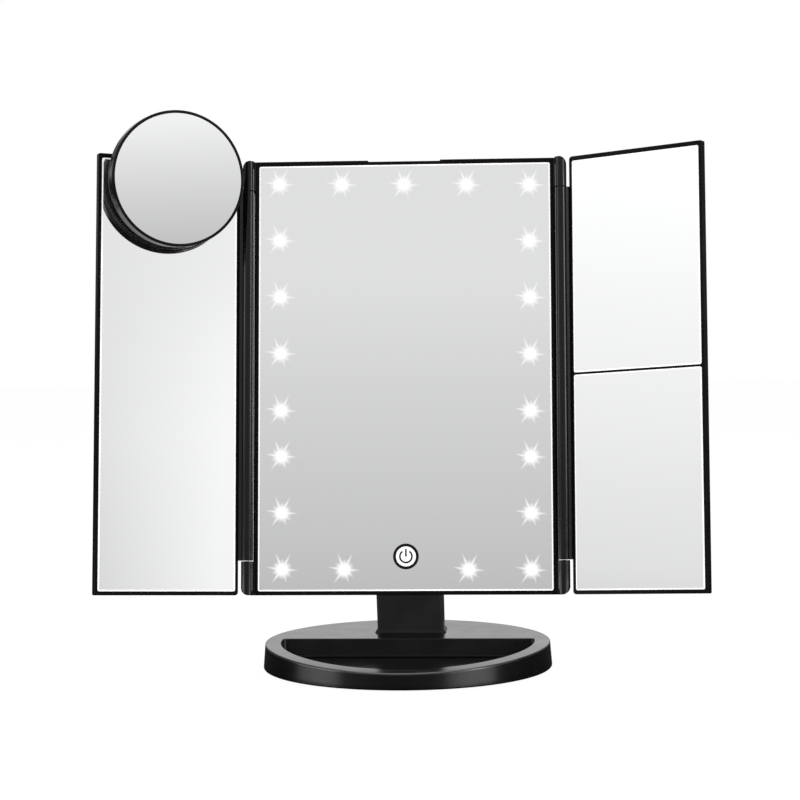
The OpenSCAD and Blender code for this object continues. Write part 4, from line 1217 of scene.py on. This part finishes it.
# Brightness of the room that the mirrors show: (elevation in degrees, level) from low to high, for
# directions that face the object from the front; each mirror looks into a part of its own
RIGHT_ROOM = [(-2, 0.6), (4, 0.7), (5.7, 0.848), (8.3, 0.923), (9.6, 0.972), (12.2, 1.04),
              (14.8, 1.125), (17, 1.2), (60, 0.8)]
MIDDLE_ROOM = [(4, 0.02), (7, 0.5), (9.25, 0.61), (10.8, 0.66), (14, 0.749), (16.9, 0.848),
               (40, 0.85), (70, 1.5)]
LEFT_ROOM_DIM = [(2, 0.1), (6.5, 0.76), (7.9, 0.798), (9.4, 0.83), (11.4, 0.88), (15.5, 0.893),
                 (40, 0.9)]
LEFT_ROOM_BRIGHT = [(2, 0.1), (6.5, 1.02), (7.7, 1.038), (11.3, 1.066), (13.4, 1.041),
                    (15.5, 0.978), (40, 0.9)]
DISC_ROOM = [(2, 0.2), (5.5, 0.639), (6.5, 0.738), (7.5, 0.862), (8.6, 1.02), (12, 1.15), (40, 1.0)]
REAR_ROOM = [(4, 0.2), (8, 0.98), (12, 1.1), (22, 1.3), (40, 1.0), (70, 1.5)]
REAR_SIDE_ROOM = [(1, 0.02), (3, 0.3), (5, 0.84), (9, 0.5), (14, 0.1), (70, 0.3)]
REAR_WIDTH = (0.5, 0.3)
REAR_START = (-0.1, 0.3)
# Where one part passes into the next, as the sideways share of the direction
ROOM_STEPS = [(-0.7, -0.3), (0.15, 0.5), (0.55, 0.595), (0.602, 0.645)]
BRIGHTEST = 1.5
SOFT_LIGHT = 0.45
# Below this upward share of a direction, mirrors see the white ground go on behind the floor
MIRROR_FLOOR = 0.065


def curve(tree, value, stops):
    """Grey levels over the height of a direction, as shares of the brightest."""
    made = tree.nodes.new("ShaderNodeValToRGB")
    elements = made.color_ramp.elements
    while len(elements) < len(stops):
        elements.new(0.5)
    for element, (degrees, level) in zip(elements, stops):
        element.position = (math.sin(math.radians(degrees)) + 1) / 2
        shade = level / BRIGHTEST
        element.color = (shade, shade, shade, 1)
    tree.links.new(value, made.inputs["Fac"])
    return made.outputs["Color"]


def background(tree, colour, strength):
    return add_node(tree, "Background", "Background", color=colour, strength=strength)


def mirrored_room(tree, x, y, z):
    """What mirrors and gloss show: soft gradients in front of the object, a bright wall behind."""
    height = number(tree, "MULTIPLY", number(tree, "ADD", z, 1), 0.5)
    front = curve(tree, height, RIGHT_ROOM)
    rooms = (MIDDLE_ROOM, LEFT_ROOM_DIM, LEFT_ROOM_BRIGHT, DISC_ROOM)
    for step, stops in zip(ROOM_STEPS, rooms):
        front = mix_colours(tree, ramp(tree, x, 0, 1, *step), front, curve(tree, height, stops))
    aside = ramp(tree, number(tree, "ABSOLUTE", x), 0, 1, *REAR_WIDTH)
    rear = mix_colours(tree, aside, curve(tree, height, REAR_SIDE_ROOM),
                       curve(tree, height, REAR_ROOM))
    return mix_colours(tree, ramp(tree, y, 0, 1, *REAR_START, "SMOOTHSTEP"), front, rear)


def studio():
    """A white room with soft light, which mirrors and gloss show with its gradients."""
    world = bpy.data.worlds.new("studio")
    bpy.context.scene.world = world
    world.use_nodes = True
    tree = world.node_tree
    tree.nodes.clear()
    x, y, z = split(tree, add_node(tree, "TexCoord", "Generated"))
    light = mix_light(tree, add_node(tree, "LightPath", "Is Glossy Ray"),
                      background(tree, WHITE, SOFT_LIGHT),
                      background(tree, mirrored_room(tree, x, y, z), BRIGHTEST))
    clear = seen_clearly(tree, number(tree, "LESS_THAN", z, MIRROR_FLOOR))
    output = tree.nodes.new("ShaderNodeOutputWorld")
    put(tree, output, surface=mix_light(tree, clear, light, background(tree, WHITE, 1.0)))


# Name, place and target in metres, width and height in metres, watts; the two low ones give the
# base's side its sheen
LAMPS = [
    ("key", (1.6, -0.9, 1.0), (0, 0, 0.15), 0.35, 1.4, 15),
    ("fill", (-1.8, -0.8, 1.1), (0, 0, 0.15), 0.6, 1.4, 8),
    ("top", (0, 0.3, 1.9), (0, 0, 0.1), 1.4, 1.0, 15),
    ("low_right", (0.473, -0.369, 0.05), (0, 0, 0.02), 0.4, 0.1, 0.85),
    ("low_left", (-0.555, -0.229, 0.05), (0, 0, 0.02), 0.4, 0.1, 0.75),
]


def lamp(name, place, target, width, height, watts):
    data = bpy.data.lights.new(name, "AREA")
    data.shape = "RECTANGLE"
    data.size = width
    data.size_y = height
    data.energy = watts
    made = in_scene(name, data)
    made.location = place
    made.rotation_euler = (Vector(target) - Vector(place)).to_track_quat("-Z", "Y").to_euler()
    made.visible_camera = False


# The photograph's view: place in millimetres, angles in radians, focal length in pixels of 800
CAMERA_PLACE = Vector((75.753, -1209.0, 205.49))
CAMERA_TURN = 0.064832
CAMERA_DOWN = 0.046408
CAMERA_ROLL = 0.011711
CAMERA_FOCUS = 2180.0
IMAGE_SIZE = 800.0
SENSOR = 36.0


def camera():
    data = bpy.data.cameras.new("camera")
    data.sensor_width = SENSOR
    data.lens = CAMERA_FOCUS / IMAGE_SIZE * SENSOR
    data.clip_start = 0.05
    data.clip_end = 50
    made = in_scene("camera", data)
    aim = (Matrix.Rotation(CAMERA_TURN, 3, "Z") @ Matrix.Rotation(-CAMERA_DOWN, 3, "X")
           @ Matrix.Rotation(CAMERA_ROLL, 3, "Y"))
    right, forward, up = (aim.col[axis] for axis in range(3))
    placed = Matrix((right, up, -forward)).transposed().to_4x4()
    placed.translation = CAMERA_PLACE * MM
    made.matrix_world = placed
    bpy.context.scene.camera = made


floor()
studio()
for lamp_values in LAMPS:
    lamp(*lamp_values)
camera()
bpy.context.scene.view_settings.view_transform = "Standard"
